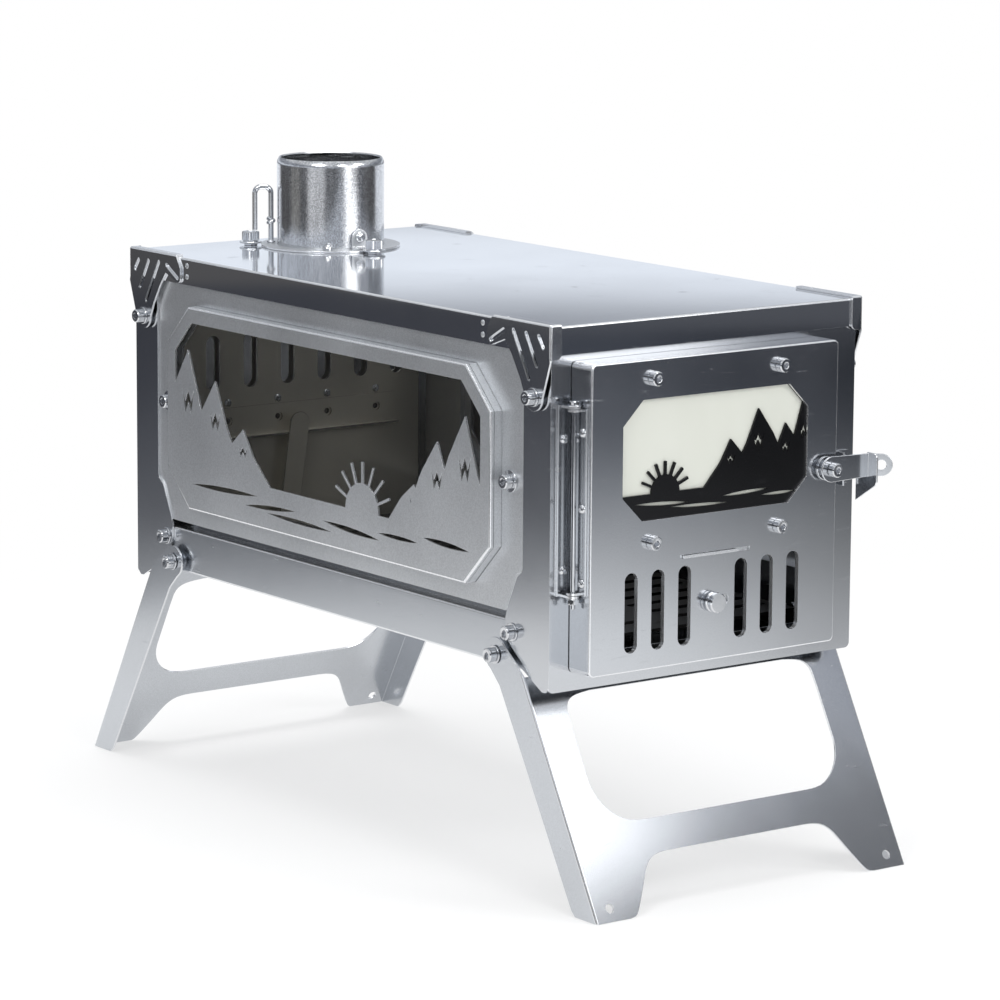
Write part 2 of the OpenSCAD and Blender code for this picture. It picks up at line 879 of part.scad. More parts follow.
// End panel with its two posts, drawn for the front
module end_panel() {
    difference() {
        union() {
            facing_y(-panel_y, sheet_t)
                difference() {
                    union() {
                        box_2d(-panel_x, body_bottom_z + corner_r, panel_x, panel_top_z);
                        round_box_2d(-panel_x, body_bottom_z, panel_x,
                                     body_bottom_z + post_foot_h, corner_r);
                    }
                    children();
                }
            both_sides()
                facing_x(-panel_x, sheet_t) post_outline();
        }
        both_sides() {
            translate([-panel_x, -leg_bolt_y, rail_bolt_z])
                rotate([0, 90, 0])
                    cylinder(r = screw_hole_r, h = 4 * sheet_t, center = true);
            translate([-panel_x, -bracket_out_y + bracket_tail[0],
                       top_z - bracket_tail[1]])
                rotate([0, 90, 0])
                    cylinder(r = screw_hole_r, h = 4 * sheet_t, center = true);
        }
    }
}

module front_panel() {
    color("slategray")
    end_panel() {
        round_box_2d(door_left_x + door_lap, door_z + door_lap,
                     door_right_x - door_lap, door_z + door_h - door_lap, corner_r);
        for (z = fixed_screw_zs)
            translate([fixed_screw_x, z]) circle(small_hole_r);
        for (z = keeper_screw_zs)
            translate([keeper_screw_x, z]) circle(small_hole_r);
    }
}

module rear_panel() {
    color("slategray")
    mirror([0, 1, 0])
        end_panel() {
            for (x = liner_screw_xs)
                translate([x, liner_screw_z]) circle(small_hole_r);
            for (i = [-liner_slot_n:liner_slot_n])
                slot_2d([i * liner_slot_pitch, inlet_low],
                        [i * liner_slot_pitch, inlet_high], liner_slot_w / 2);
        }
}

// Sheet between the posts, with its field pressed out to the posts' face
module left_panel() {
    z0 = side_bottom_z;
    field_y = panel_y - post_w - post_clear;
    color("gray")
    difference() {
        union() {
            facing_x(-side_x, sheet_t)
                box_2d(-tongue_y, z0, tongue_y, panel_top_z);
            facing_x(-field_x, sheet_t)
                difference() {
                    box_2d(-field_y, z0, field_y, panel_top_z);
                    both_sides_2d() {
                        polygon([
                            [-field_y - post_clear, body_bottom_z + post_foot_h + post_clear],
                            [-field_y, body_bottom_z + post_foot_h + post_clear],
                            [-panel_y + post_shoulder[0] + post_clear,
                             body_bottom_z + post_shoulder[1] + post_clear],
                            [-panel_y + post_flare[0] + post_clear,
                             body_bottom_z + post_flare[1] + post_clear],
                            [-panel_y + post_lobe_top[0] + post_clear, z0 - post_clear],
                            [-field_y - post_clear, z0 - post_clear]
                        ]);
                    }
                }
        }
        facing_x(-field_x - sheet_t, 4 * sheet_t)
            translate([0, win_z])
                octagon(win_half_l + frame_clear, win_h / 2 + frame_clear, win_cut);
        both_ends() {
            translate([-side_x, -win_bolt_y, win_z])
                rotate([0, 90, 0])
                    cylinder(r = screw_hole_r, h = 6 * sheet_t, center = true);
            translate([-side_x, -bracket_out_y + bracket_tail[0],
                       top_z - bracket_tail[1]])
                rotate([0, 90, 0])
                    cylinder(r = screw_hole_r, h = 6 * sheet_t, center = true);
        }
    }
}

module both_sides_2d() {
    children();
    mirror([1, 0]) children();
}

module right_panel() { mirror([1, 0, 0]) left_panel(); }

module base_pan() {
    hl = panel_in_y - fit_gap;
    wall_top = pan_z + pan_wall_h;
    color("dimgray")
    difference() {
        union() {
            facing_z(pan_z, sheet_t) box_2d(-side_x, -hl, side_x, hl);
            both_sides() {
                facing_x(-side_x, sheet_t) box_2d(-tongue_y, pan_z, tongue_y, wall_top);
                facing_z(wall_top - sheet_t, sheet_t)
                    box_2d(-side_x, -tongue_y, pan_lip_w - side_x, tongue_y);
                facing_x(pan_lip_w - side_x - sheet_t, sheet_t)
                    box_2d(-pan_curb_l, wall_top - sheet_t,
                           pan_curb_l, wall_top + pan_gap + pan_curb_over);
            }
            both_ends()
                facing_y(-hl, sheet_t)
                    box_2d(-side_in_x, pan_z, side_in_x, pan_z + pan_end_h);
        }
        both_sides() both_ends() {
            translate([-side_x, -leg_bolt_y, rail_bolt_z])
                rotate([0, 90, 0])
                    cylinder(r = screw_hole_r, h = 4 * sheet_t, center = true);
            translate([-side_x, -leg_pivot_y, leg_pivot_z])
                rotate([0, 90, 0])
                    cylinder(r = screw_hole_r, h = 4 * sheet_t, center = true);
        }
    }
}

module rail_bolts() {
    color("gainsboro")
    both_sides() both_ends()
        translate([-panel_x, -leg_bolt_y, rail_bolt_z])
            point_left() bolt_set(panel_x - side_in_x);
}

// Legs

leg_top_s = (pan_z - leg_stop_gap) / sin(leg_slope);
leg_foot_y = leg_pivot_y + (leg_pivot_z * cos(leg_slope) + leg_plate_d) / sin(leg_slope);

// Outline given from the plate's side, with its ends brought to the middle line
function to_middle(outline) = concat(
    [[0, outline[0][1]]],
    [for (p = outline) [leg_out_x - p[0], p[1]]],
    [[0, outline[len(outline) - 1][1]]]
);

// Chain of points with each corner cut down once, ends kept
function eased(chain) = concat(
    [chain[0]],
    [for (i = [1 : len(chain) - 1]) for (share = [ease_share, 1 - ease_share])
        chain[i - 1] + share * (chain[i] - chain[i - 1])],
    [chain[len(chain) - 1]]
);

// Plate's cut-outs in (x, s), s running up the slope
module leg_cutouts() {
    for (outline = [leg_arch, leg_window])
        both_sides_2d() polygon(to_middle(eased(outline)));
    for (x = [-leg_peg_x, leg_peg_x])
        translate([x, leg_peg_s]) circle(leg_peg_r);
}

module leg_plate_2d() {
    difference() {
        polygon([
            [-leg_out_x, 0], [leg_out_x, 0],
            [leg_out_x, leg_shoulder_s],
            leg_shoulder[0],
            leg_shoulder[1],
            [leg_shoulder[1][0], leg_top_s],
            [-leg_shoulder[1][0], leg_top_s],
            [-leg_shoulder[1][0], leg_shoulder[1][1]],
            [-leg_shoulder[0][0], leg_shoulder[0][1]],
            [-leg_out_x, leg_shoulder_s]
        ]);
        leg_cutouts();
    }
}

// Side flange in (y, z): along the plate, then up into the pivot's ear
module leg_flange_2d() {
    ux = cos(leg_slope);
    uz = sin(leg_slope);
    foot_y = -leg_foot_y;
    s1 = leg_shoulder_s;
    axis = [-leg_pivot_y, leg_pivot_z];
    heel = [foot_y + leg_flange_d * uz + leg_heel_s * ux,
            leg_heel_s * uz - leg_flange_d * ux];
    difference() {
        union() {
            polygon([
                [foot_y, 0],
                [foot_y + s1 * ux, s1 * uz],
                axis + leg_brow,
                axis + leg_ear_from,
                axis,
                axis + leg_ear_to,
                axis + leg_nape,
                heel,
                [heel[0] - leg_heel_short, 0]
            ]);
            translate(axis) circle(leg_ear_r);
        }
        translate(axis) circle(screw_r + seat_gap);
    }
}

module leg() {
    color("silver")
    intersection() {
        union() {
            translate([0, -leg_foot_y, 0])
                rotate([leg_slope, 0, 0])
                    translate([0, 0, -sheet_t])
                        linear_extrude(sheet_t) leg_plate_2d();
            both_sides()
                facing_x(-leg_out_x, sheet_t) leg_flange_2d();
        }
        translate([-body_w, -body_l, 0]) cube([2 * body_w, 2 * body_l, top_z]);
    }
}

module leg_front() { leg(); }
module leg_rear() { mirror([0, 1, 0]) leg(); }

module leg_pivot_bolts() {
    color("gainsboro")
    both_sides() both_ends()
        translate([-leg_out_x, -leg_pivot_y, leg_pivot_z])
            point_left()
                translate([0, 0, move_gap]) bolt_set(leg_out_x - side_in_x + move_gap);
}

module leg_spacers() {
    space = leg_in_x - side_x;
    color("gainsboro")
    both_sides() both_ends()
        translate([-side_x - seat_gap, -leg_pivot_y, leg_pivot_z])
            point_left() tube(leg_spacer_r, screw_r + fit_gap, space - seat_gap - move_gap);
}

// Side windows, drawn for the left

module housing_2d(d) {
    translate([0, win_z]) octagon(win_half_l, win_h / 2, win_cut, d);
}

module left_window_frame() {
    color("silver")
    difference() {
        union() {
            facing_x(-frame_back_x - sheet_t, sheet_t) {
                housing_2d(-frame_margin);
                both_sides_2d()
                    translate([-win_bolt_y, win_z]) circle(win_ear_r);
            }
            facing_x(-frame_wall_x, frame_wall_x - frame_back_x) housing_2d(0);
        }
        facing_x(-pane_x + fit_gap - 2 * frame_wall_x, 2 * frame_wall_x)
            housing_2d(sheet_t);
        facing_x(-pane_x, pane_x) housing_2d(ledge_w);
        facing_x(-ledge_x, ledge_x) housing_2d(sheet_t);
        both_ends()
            translate([-frame_back_x, -win_bolt_y, win_z])
                rotate([0, 90, 0])
                    cylinder(r = screw_hole_r, h = 4 * sheet_t, center = true);
    }
}

module left_glass() {
    color([0.35, 0.33, 0.3, 0.5])
    facing_x(-pane_x - glass_t, glass_t) housing_2d(pane_inset);
}

// Cap with the picture: a face, a short rim and a skirt inside the housing
module left_screen() {
    rim_x = frame_wall_x + cap_joint;
    color("gray")
    difference() {
        union() {
            facing_x(-cap_face_x, cap_face_x - rim_x) housing_2d(0);
            facing_x(-cap_face_x, cap_face_x - skirt_x) housing_2d(sheet_t + fit_gap);
        }
        facing_x(-cap_in_x, cap_in_x) housing_2d(sheet_t + fit_gap + skirt_t);
        facing_x(-cap_face_x - sheet_t, 3 * sheet_t) side_picture();
    }
}

module right_window_frame() { mirror([1, 0, 0]) left_window_frame(); }
module right_glass() { mirror([1, 0, 0]) left_glass(); }
module right_screen() { mirror([1, 0, 0]) left_screen(); }

module window_bolts() {
    color("gainsboro")
    both_sides() both_ends()
        translate([-field_x, -win_bolt_y, win_z])
            point_left()
                bolt_set(field_x - frame_back_x, big_washer_r, big_washer_t);
}

// Door

module door_slots_2d() {
    reach = slot_h / 2 - slot_w / 2;
    for (i = [0:slots_per_side - 1]) {
        slot_2d([slot_left_x - i * slot_pitch, slot_z - reach],
                [slot_left_x - i * slot_pitch, slot_z + reach], slot_w / 2);
        slot_2d([slot_right_x + i * slot_pitch, slot_z - reach],
                [slot_right_x + i * slot_pitch, slot_z + reach], slot_w / 2);
    }
}

module door_bolt_holes_2d(r) {
    for (x = [-door_bolt_x, door_bolt_x], z = [-door_bolt_h, door_bolt_h])
        translate([door_x + x, door_plate_z + z]) circle(r);
}

module door_shell() {
    stem_reach = stem_r + stem_slot_clear;
    color("slategray")
    difference() {
        facing_y(door_face_y, door_back_y - door_face_y)
            round_box_2d(door_left_x, door_z, door_right_x, door_z + door_h, corner_r);
        facing_y(door_in_y, door_depth)
            round_box_2d(door_left_x + sheet_t, door_z + sheet_t,
                         door_right_x - sheet_t, door_z + door_h - sheet_t,
                         corner_r - sheet_t);
        facing_y(door_face_y - sheet_t, 3 * sheet_t) {
            translate([door_x, pane_z]) octagon(pane_half_w, pane_h / 2, pane_cut);
            door_slots_2d();
            door_bolt_holes_2d(screw_hole_r);
            slot_2d([knob_x - stem_slot_clear, knob_z],
                    [knob_x + slide_travel + stem_slot_clear, knob_z],
                    stem_slot_h / 2);
            box_2d(slide_tab_x - slit_clear, slide_tab_z - slit_clear,
                   slide_tab_x + slide_tab_l + slide_travel + slit_clear,
                   slide_tab_z + sheet_t + slit_clear);
            translate([latch_x, latch_z]) circle(screw_hole_r);
        }
        for (z = door_screw_zs)
            translate([door_left_x, door_screw_y, z])
                rotate([0, 90, 0])
                    cylinder(r = small_hole_r, h = 4 * sheet_t, center = true);
    }
}

module door_plate_2d() {
    translate([door_x, door_plate_z])
        octagon(door_plate_half_w, door_plate_half_h, door_plate_cut);
}

module door_screen() {
    color([0.18, 0.18, 0.19])
    facing_y(door_screen_y, sheet_t)
        difference() {
            door_plate_2d();
            door_picture();
            door_bolt_holes_2d(screw_hole_r);
        }
}

module door_glass() {
    color([0.85, 0.86, 0.83, 0.5])
    facing_y(door_glass_y, glass_t)
        translate([door_x, pane_z])
            octagon(pane_half_w + pane_lap, pane_h / 2 + pane_lap, pane_cut + pane_lap / 2);
}

// Ring behind the glass, its edge folded forward to the screen
module door_glass_clamp() {
    rim_y = door_glass_y;
    color("dimgray")
    difference() {
        facing_y(rim_y, door_clamp_y + sheet_t - rim_y) door_plate_2d();
        facing_y(rim_y - sheet_t, door_clamp_y - rim_y + sheet_t)
            translate([door_x, door_plate_z])
                octagon(door_plate_half_w, door_plate_half_h, door_plate_cut, sheet_t);
        facing_y(rim_y, 2 * glass_t) {
            translate([door_x, pane_z]) octagon(pane_half_w, pane_h / 2, pane_cut);
            door_bolt_holes_2d(screw_hole_r);
        }
    }
}

module door_bolts() {
    joint = door_clamp_y + sheet_t - door_face_y;
    nut_at = joint + seat_gap;
    color("gainsboro")
    for (x = [-door_bolt_x, door_bolt_x], z = [-door_bolt_h, door_bolt_h])
        translate([door_x + x, door_face_y, door_plate_z + z])
            point_front() {
                translate([0, 0, seat_gap]) cap_screw(nut_at + nut_h);
                translate([0, 0, -nut_at]) hex_nut(nut_r, nut_h, screw_r);
            }
}

slide_left_x = slot_left_x - (slots_per_side - 1) * slot_pitch - slot_w / 2 - slide_edge;
slide_right_x = slot_right_x + (slots_per_side - 1) * slot_pitch + slot_w / 2 + slide_edge;
slide_top_z = slide_tab_z + sheet_t;
slide_back_y = slide_y + sheet_t;

module air_slide() {
    color("silver")
    difference() {
        union() {
            facing_y(slide_y, sheet_t)
                box_2d(slide_left_x, slide_foot_z, slide_right_x, slide_top_z);
            facing_z(slide_tab_z, sheet_t)
                box_2d(slide_tab_x, door_face_y - slide_tab_out,
                       slide_tab_x + slide_tab_l, slide_back_y);
        }
        facing_y(slide_y - sheet_t, 3 * sheet_t) {
            door_slots_2d();
            translate([knob_x, knob_z]) circle(stem_r + seat_gap);
        }
    }
}

// Knob on a stem that is riveted through the slide
module air_knob() {
    knob_seat = door_face_y - move_gap;
    color("gainsboro")
    translate([knob_x, knob_seat, knob_z])
        point_front() {
            difference() {
                cylinder(r = knob_d / 2, h = knob_h);
                translate([0, 0, knob_h - socket_d])
                    cylinder(r = socket_r, h = knob_h, $fn = 6);
            }
            translate([0, 0, knob_seat - slide_back_y - sheet_t])
                cylinder(r = stem_r, h = slide_back_y + sheet_t - knob_seat + tiny);
            translate([0, 0, knob_seat - slide_back_y - sheet_t])
                cylinder(r = washer_r, h = sheet_t - seat_gap);
        }
}

// Upper and lower guide strips: a spacer against the face and a lip over the slide
module slide_guides() {
    x0 = slide_left_x - guide_over;
    x1 = slide_right_x + slide_travel + guide_over;
    lip_y = slide_back_y + move_gap;
    color("dimgray") {
        facing_y(guide_y, lip_y - guide_y + guide_t)
            box_2d(x0, slide_foot_z - move_gap - guide_edge, x1, slide_foot_z - move_gap);
        facing_y(lip_y, guide_t)
            box_2d(x0, slide_foot_z - move_gap - guide_edge, x1, slide_foot_z + guide_lip);
        facing_y(guide_y, lip_y - guide_y + guide_t)
            box_2d(x0, slide_top_z + move_gap, x1, slide_top_z + move_gap + guide_edge);
        facing_y(lip_y, guide_t)
            box_2d(x0, slide_top_z - guide_lip, x1, slide_top_z + move_gap + guide_edge);
    }
}

// Hinge

module hinge_fixed_leaf() {
    color("silver")
    difference() {
        union() {
            facing_y(leaf_out_y, sheet_t)
                box_2d(leaf_left_x, leaf_low_z, leaf_right_x, leaf_high_z);
            for (z = [leaf_low_z, leaf_high_z - sheet_t])
                facing_z(z, sheet_t) {
                    translate([pin_x, pin_y]) circle(fixed_ear_r);
                    box_2d(pin_x - fixed_ear_r, pin_y, leaf_right_x, leaf_y);
                }
        }
        translate([pin_x, pin_y, 0]) cylinder(r = pin_hole_r, h = top_z);
        for (z = fixed_screw_zs)
            translate([fixed_screw_x, leaf_y, z])
                rotate([90, 0, 0])
                    cylinder(r = small_hole_r, h = 4 * sheet_t, center = true);
    }
}

module hinge_door_leaf() {
    low_z = leaf_low_z + sheet_t + move_gap;
    high_z = leaf_high_z - sheet_t - move_gap;
    color("silver")
    difference() {
        union() {
            facing_x(door_leaf_out_x, sheet_t)
                box_2d(door_leaf_front_y, low_z, door_leaf_back_y, high_z);
            for (z = [low_z, high_z - sheet_t])
                facing_z(z, sheet_t) {
                    translate([pin_x, pin_y]) circle(door_ear_r);
                    box_2d(pin_x, pin_y - door_ear_r, door_leaf_x, pin_y + door_ear_r);
                }
        }
        translate([pin_x, pin_y, 0]) cylinder(r = pin_hole_r, h = top_z);
        for (z = door_screw_zs)
            translate([door_leaf_x, door_screw_y, z])
                rotate([0, 90, 0])
                    cylinder(r = small_hole_r, h = 4 * sheet_t, center = true);
    }
}

module hinge_pin() {
    head_z = leaf_high_z + seat_gap;
    color("gainsboro")
    translate([pin_x, pin_y, 0]) {
        translate([0, 0, pin_end_z]) cylinder(r = pin_r, h = head_z - pin_end_z + tiny);
        translate([0, 0, head_z]) cylinder(r = pin_washer_r, h = pin_washer_t);
        translate([0, 0, head_z + pin_washer_t])
            cylinder(r = pin_cap_r, h = pin_cap_h, $fn = 6);
    }
}

module hinge_pin_nut() {
    washer_z = leaf_low_z - seat_gap;
    color("gainsboro")
    translate([pin_x, pin_y, 0]) {
        translate([0, 0, washer_z - pin_washer_t])
            tube(pin_washer_r, pin_r + thread_gap, pin_washer_t);
        translate([0, 0, washer_z - pin_washer_t]) hex_nut(pin_nut_r, pin_nut_h, pin_r);
    }
}

module hinge_fixed_screws() {
    color("gainsboro")
    for (z = fixed_screw_zs)
        translate([fixed_screw_x, leaf_out_y, z])
            point_front() small_bolt_set(-panel_in_y - leaf_out_y);
}

module hinge_door_screws() {
    joint = door_left_x + sheet_t - door_leaf_out_x;
    color("gainsboro")
    for (z = door_screw_zs)
        translate([door_leaf_out_x, door_screw_y, z])
            point_left() small_bolt_set(joint);
}

// Latch

// Hook plate in (y, z), measured from the bar's front face and the pivot height
module hook_2d() {
    y0 = latch_y;
    z0 = latch_z;
    front = y0 - hook_front;
    polygon([
        [front + hook_corner_r, z0 + hook_top],
        [y0 + sheet_t, z0 + hook_top],
        [y0 + sheet_t, z0 - bar_end_h / 2],
        [y0 + hook_heel[0], z0 + hook_neck],
        [y0 + hook_heel[0], z0 + hook_heel[1]],
        [y0 + hook_chin[0], z0 + hook_chin[1]],
        [front, z0 - hook_front_low],
        [front, z0 + hook_top - hook_corner_r]
    ]);
    translate([front + hook_corner_r, z0 + hook_top - hook_corner_r])
        circle(hook_corner_r);
}

module latch_lever() {
    color("silver")
    difference() {
        union() {
            facing_y(latch_y, sheet_t) {
                translate([latch_x, latch_z]) circle(latch_r);
                polygon([
                    [latch_x, latch_z - latch_r], [hook_x + tiny, latch_z - bar_end_h / 2],
                    [hook_x + tiny, latch_z + bar_end_h / 2], [latch_x, latch_z + latch_r]
                ]);
            }
            facing_x(hook_x, sheet_t) hook_2d();
            translate([hook_x + sheet_t / 2, latch_y + sheet_t, latch_z])
                rotate([0, 0, -grip_turn])
                    rotate([90, 0, 0])
                        linear_extrude(sheet_t)
                            difference() {
                                union() {
                                    translate([grip_l, 0]) circle(grip_r);
                                    box_2d(0, -grip_r, grip_l, grip_r);
                                }
                                translate([grip_l, 0]) circle(grip_hole_r);
                            }
        }
        translate([latch_x, 0, latch_z])
            rotate([90, 0, 0]) cylinder(r = latch_bore_r, h = body_l);
    }
}

module latch_screw() {
    nut_at = door_in_y + seat_gap - latch_y;
    head_at = move_gap;
    color("gainsboro")
    translate([latch_x, latch_y, latch_z])
        point_front() {
            translate([0, 0, head_at]) cap_screw(nut_at + nut_h + head_at);
            translate([0, 0, -nut_at]) hex_nut(nut_r, nut_h, screw_r);
        }
}

module latch_disc() {
    color("gainsboro")
    translate([latch_x, door_face_y - seat_gap, latch_z])
        point_front() tube(latch_disc_r, screw_r + fit_gap, latch_disc_t);
}

module latch_spacer() {
    color("gainsboro")
    translate([latch_x, latch_disc_y - seat_gap, latch_z])
        point_front() tube(latch_spacer_r, screw_r + fit_gap, latch_spacer_t);
}

module latch_keeper() {
    color("silver")
    difference() {
        union() {
            facing_y(leaf_out_y, sheet_t)
                box_2d(keeper_left_x, keeper_low_z, keeper_right_x, keeper_low_z + keeper_h);
            facing_x(keeper_left_x, sheet_t)
                box_2d(leaf_y - keeper_out, keeper_low_z, leaf_y, keeper_low_z + keeper_h);
        }
        for (z = keeper_screw_zs)
            translate([keeper_screw_x, leaf_y, z])
                rotate([90, 0, 0])
                    cylinder(r = small_hole_r, h = 4 * sheet_t, center = true);
    }
}

module keeper_screws() {
    color("gainsboro")
    for (z = keeper_screw_zs)
        translate([keeper_screw_x, leaf_out_y, z])
            point_front() small_bolt_set(-panel_in_y - leaf_out_y);
}

// Flue collar

module at_flue(angle, r) {
    translate([0, flue_y, 0])
        rotate(angle)
            translate([r, 0, 0]) children();
}

module at_studs() {
    for (a = stud_angles)
        at_flue(a, stud_ring_r) translate([0, 0, top_z]) children();
}

module flue_collar() {
    rim_z = top_z + flue_h - flue_rim_r * sin(flue_rim_turn);
    rim_in = flue_rim_r - sheet_t;
    reach = 2 * flue_rim_r;
    color("gray")
    difference() {
        translate([0, flue_y, 0])
            rotate_extrude($fn = 96) {
                box_2d(flue_r - sheet_t, tube_z, flue_r, rim_z);
                translate([flue_r - flue_rim_r, rim_z])
                    intersection() {
                        difference() {
                            circle(flue_rim_r);
                            circle(rim_in);
                        }
                        polygon([[0, 0], [reach, 0], [reach, reach * tan(flue_rim_turn)]]);
                    }
            }
        for (a = tab_angles)
            at_flue(a, flue_r)
                translate([0, 0, flange_z + sheet_t + tab_hole_z])
                    rotate([0, 90, 0])
                        cylinder(r = small_hole_r, h = 4 * sheet_t, center = true);
    }
}

module flue_flange() {
    color("silver")
    difference() {
        translate([0, flue_y, flange_z])
            difference() {
                cylinder(r = flange_r, h = sheet_t, $fn = 96);
                translate([0, 0, -sheet_t])
                    cylinder(r = flue_r + seat_gap, h = 3 * sheet_t, $fn = 96);
            }
        at_studs() cylinder(r = notch_r, h = 4 * sheet_t, center = true);
        at_flue(wire_angle, wire_in_r)
            translate([0, 0, top_z]) cylinder(r = wire_hole_r, h = 3 * sheet_t);
        for (a = flange_screw_angles)
            at_flue(a, flange_screw_r)
                translate([0, 0, top_z]) cylinder(r = small_hole_r, h = 3 * sheet_t);
    }
}

module flue_tabs() {
    z0 = flange_z + sheet_t + seat_gap;
    r0 = flue_r + seat_gap;
    color("silver")
    for (a = tab_angles)
        at_flue(a, 0)
            difference() {
                union() {
                    translate([r0, 0, z0])
                        rotate([90, 0, 90])
                            linear_extrude(sheet_t) {
                                box_2d(-tab_w / 2, 0, tab_w / 2, tab_h - tab_w / 2);
                                translate([0, tab_h - tab_w / 2]) circle(tab_w / 2);
                            }
                    facing_z(z0, sheet_t)
                        box_2d(r0, -tab_w / 2, r0 + sheet_t + tab_foot, tab_w / 2);
                }
                translate([r0, 0, z0 - seat_gap + tab_hole_z])
                    rotate([0, 90, 0])
                        cylinder(r = small_hole_r, h = 4 * sheet_t, center = true);
            }
}

module flue_tab_screws() {
    z0 = flange_z + sheet_t + tab_hole_z;
    color("gainsboro")
    for (a = tab_angles)
        at_flue(a, flue_r + 2 * seat_gap + sheet_t)
            translate([0, 0, z0])
                rotate([0, 90, 0])
                    cap_screw(2 * sheet_t + small_nut_h, tab_cap_r, tab_cap_h,
                              small_screw_r, small_screw_r, tab_cap_h / 2);
}

module flange_screws() {
    joint = 2 * sheet_t + 3 * seat_gap;
    color("gainsboro")
    for (a = flange_screw_angles)
        at_flue(a, flange_screw_r)
            translate([0, 0, flange_z + sheet_t + seat_gap]) {
                cap_screw(joint + small_nut_h, flange_cap_r, flange_cap_h,
                          small_screw_r, small_screw_r, flange_cap_h / 2);
                translate([0, 0, -joint]) hex_nut(small_nut_r, small_nut_h, small_screw_r);
            }
}

module flue_studs() {
    color("gainsboro")
    at_studs() {
        translate([0, 0, -sheet_t - nut_h])
            cylinder(r = stud_r, h = nut_h + sheet_t + stud_nut_h + stud_washer_t + thumb_h);
        translate([0, 0, seat_gap]) cylinder(r = stud_nut_r, h = stud_nut_h, $fn = 6);
        translate([0, 0, -sheet_t - seat_gap - nut_h])
            cylinder(r = nut_r, h = nut_h, $fn = 6);
    }
}

module stud_washers() {
    color("gainsboro")
    at_studs()
        translate([0, 0, stud_nut_h + 2 * seat_gap])
            tube(stud_washer_r, stud_r + fit_gap, stud_washer_t);
}

module thumb_nuts() {
    z0 = stud_nut_h + stud_washer_t + 3 * seat_gap;
    color("gainsboro")
    at_studs()
        translate([0, 0, z0])
            difference() {
                cylinder(r = thumb_r, h = thumb_h);
                translate([0, 0, -thumb_h])
                    cylinder(r = stud_r + thread_gap, h = 3 * thumb_h);
                for (i = [0:thumb_grooves - 1])
                    rotate(i * full_turn / thumb_grooves)
                        translate([thumb_r, 0, thumb_h * groove_from_share])
                            cylinder(r = groove_r, $fn = 16,
                                     h = thumb_h * (1 - 2 * groove_from_share));
            }
}

// Wire loop that turns on its inner leg, its outer leg over the stud's nut
module wire_loop() {
    z_low = top_z + move_gap;
    z_bend = top_z + wire_top_h - wire_r - wire_bend_r;
    span = wire_out_r - wire_in_r;
    color("gainsboro")
    at_flue(wire_angle, wire_in_r) {
        translate([0, 0, z_low]) cylinder(r = wire_r, h = z_bend - z_low);
        translate([0, 0, flange_z + sheet_t + move_gap])
            cylinder(r = wire_collar_r, h = wire_collar_h);
        translate([span, 0, top_z + wire_end_h])
            cylinder(r = wire_r, h = z_bend - top_z - wire_end_h);
        translate([wire_bend_r, 0, z_bend])
            rotate([90, 0, 0])
                rotate([0, 0, 90])
                    rotate_extrude(angle = 90) translate([wire_bend_r, 0]) circle(wire_r);
        translate([span - wire_bend_r, 0, z_bend])
            rotate([90, 0, 0])
                rotate_extrude(angle = 90) translate([wire_bend_r, 0]) circle(wire_r);
        translate([wire_bend_r, 0, z_bend + wire_bend_r])
            rotate([0, 90, 0])
                cylinder(r = wire_r, h = span - 2 * wire_bend_r);
        for (k = [0, 1])
            translate([0, 0, top_z + wire_coil_h + k * wire_coil_pitch])
                rotate_extrude() translate([wire_coil_r, 0]) circle(coil_wire_r);
    }
}

// Inside the fire box

module rear_liner() {
    z0 = pan_z + sheet_t + fit_gap;
    color("dimgray")
    facing_y(liner_y, sheet_t)
        difference() {
            box_2d(-liner_half_w, z0, liner_half_w, panel_top_z - fit_gap);
            for (i = [-liner_slot_n:liner_slot_n])
                slot_2d([i * liner_slot_pitch, liner_slot_low + liner_slot_w / 2],
                        [i * liner_slot_pitch, liner_slot_high - liner_slot_w / 2],
                        liner_slot_w / 2);
            for (x = liner_screw_xs)
                translate([x, liner_screw_z]) circle(small_hole_r);
            for (x = liner_screw_xs)
                translate([x, rail_hole_z]) circle(small_hole_r);
        }
}

module liner_screws() {
    color("gainsboro")
    for (x = liner_screw_xs)
        translate([x, liner_y, liner_screw_z])
            point_front() small_bolt_set(panel_y - liner_y);
}

module rear_rail() {
    y1 = liner_y - fit_gap;
    color("dimgray") {
        facing_y(y1 - sheet_t, sheet_t)
            difference() {
                box_2d(rail_left_x, rail_low_z, rail_right_x, rail_high_z);
                for (x = liner_screw_xs)
                    translate([x, rail_hole_z]) circle(rail_hole_r);
            }
        facing_z(rail_low_z, sheet_t)
            box_2d(rail_left_x, y1 - rail_flange, rail_right_x, y1);
    }
}

module rear_strap() {
    y1 = liner_y - 2 * fit_gap - rail_flange;
    color("dimgray")
    facing_y(y1 - sheet_t, sheet_t)
        slot_2d(strap_foot, strap_top, strap_w / 2);
}

module fire_grate() {
    z0 = pan_z + sheet_t + fit_gap;
    top = z0 + grate_h;
    color("dimgray")
    difference() {
        union() {
            facing_z(top - grate_t, grate_t)
                box_2d(-grate_half_w, grate_front_y, grate_half_w, grate_back_y);
            both_sides()
                facing_x(-grate_half_w, grate_t)
                    box_2d(grate_front_y, z0, grate_back_y, top);
        }
        for (i = [-grate_slot_n:grate_slot_n])
            both_sides()
                facing_z(top - 2 * grate_t, 3 * grate_t)
                    slot_2d([-grate_half_w + grate_side, i * grate_slot_pitch],
                            [-grate_half_w + grate_side + grate_slot_l, i * grate_slot_pitch],
                            grate_slot_w / 2);
    }
}

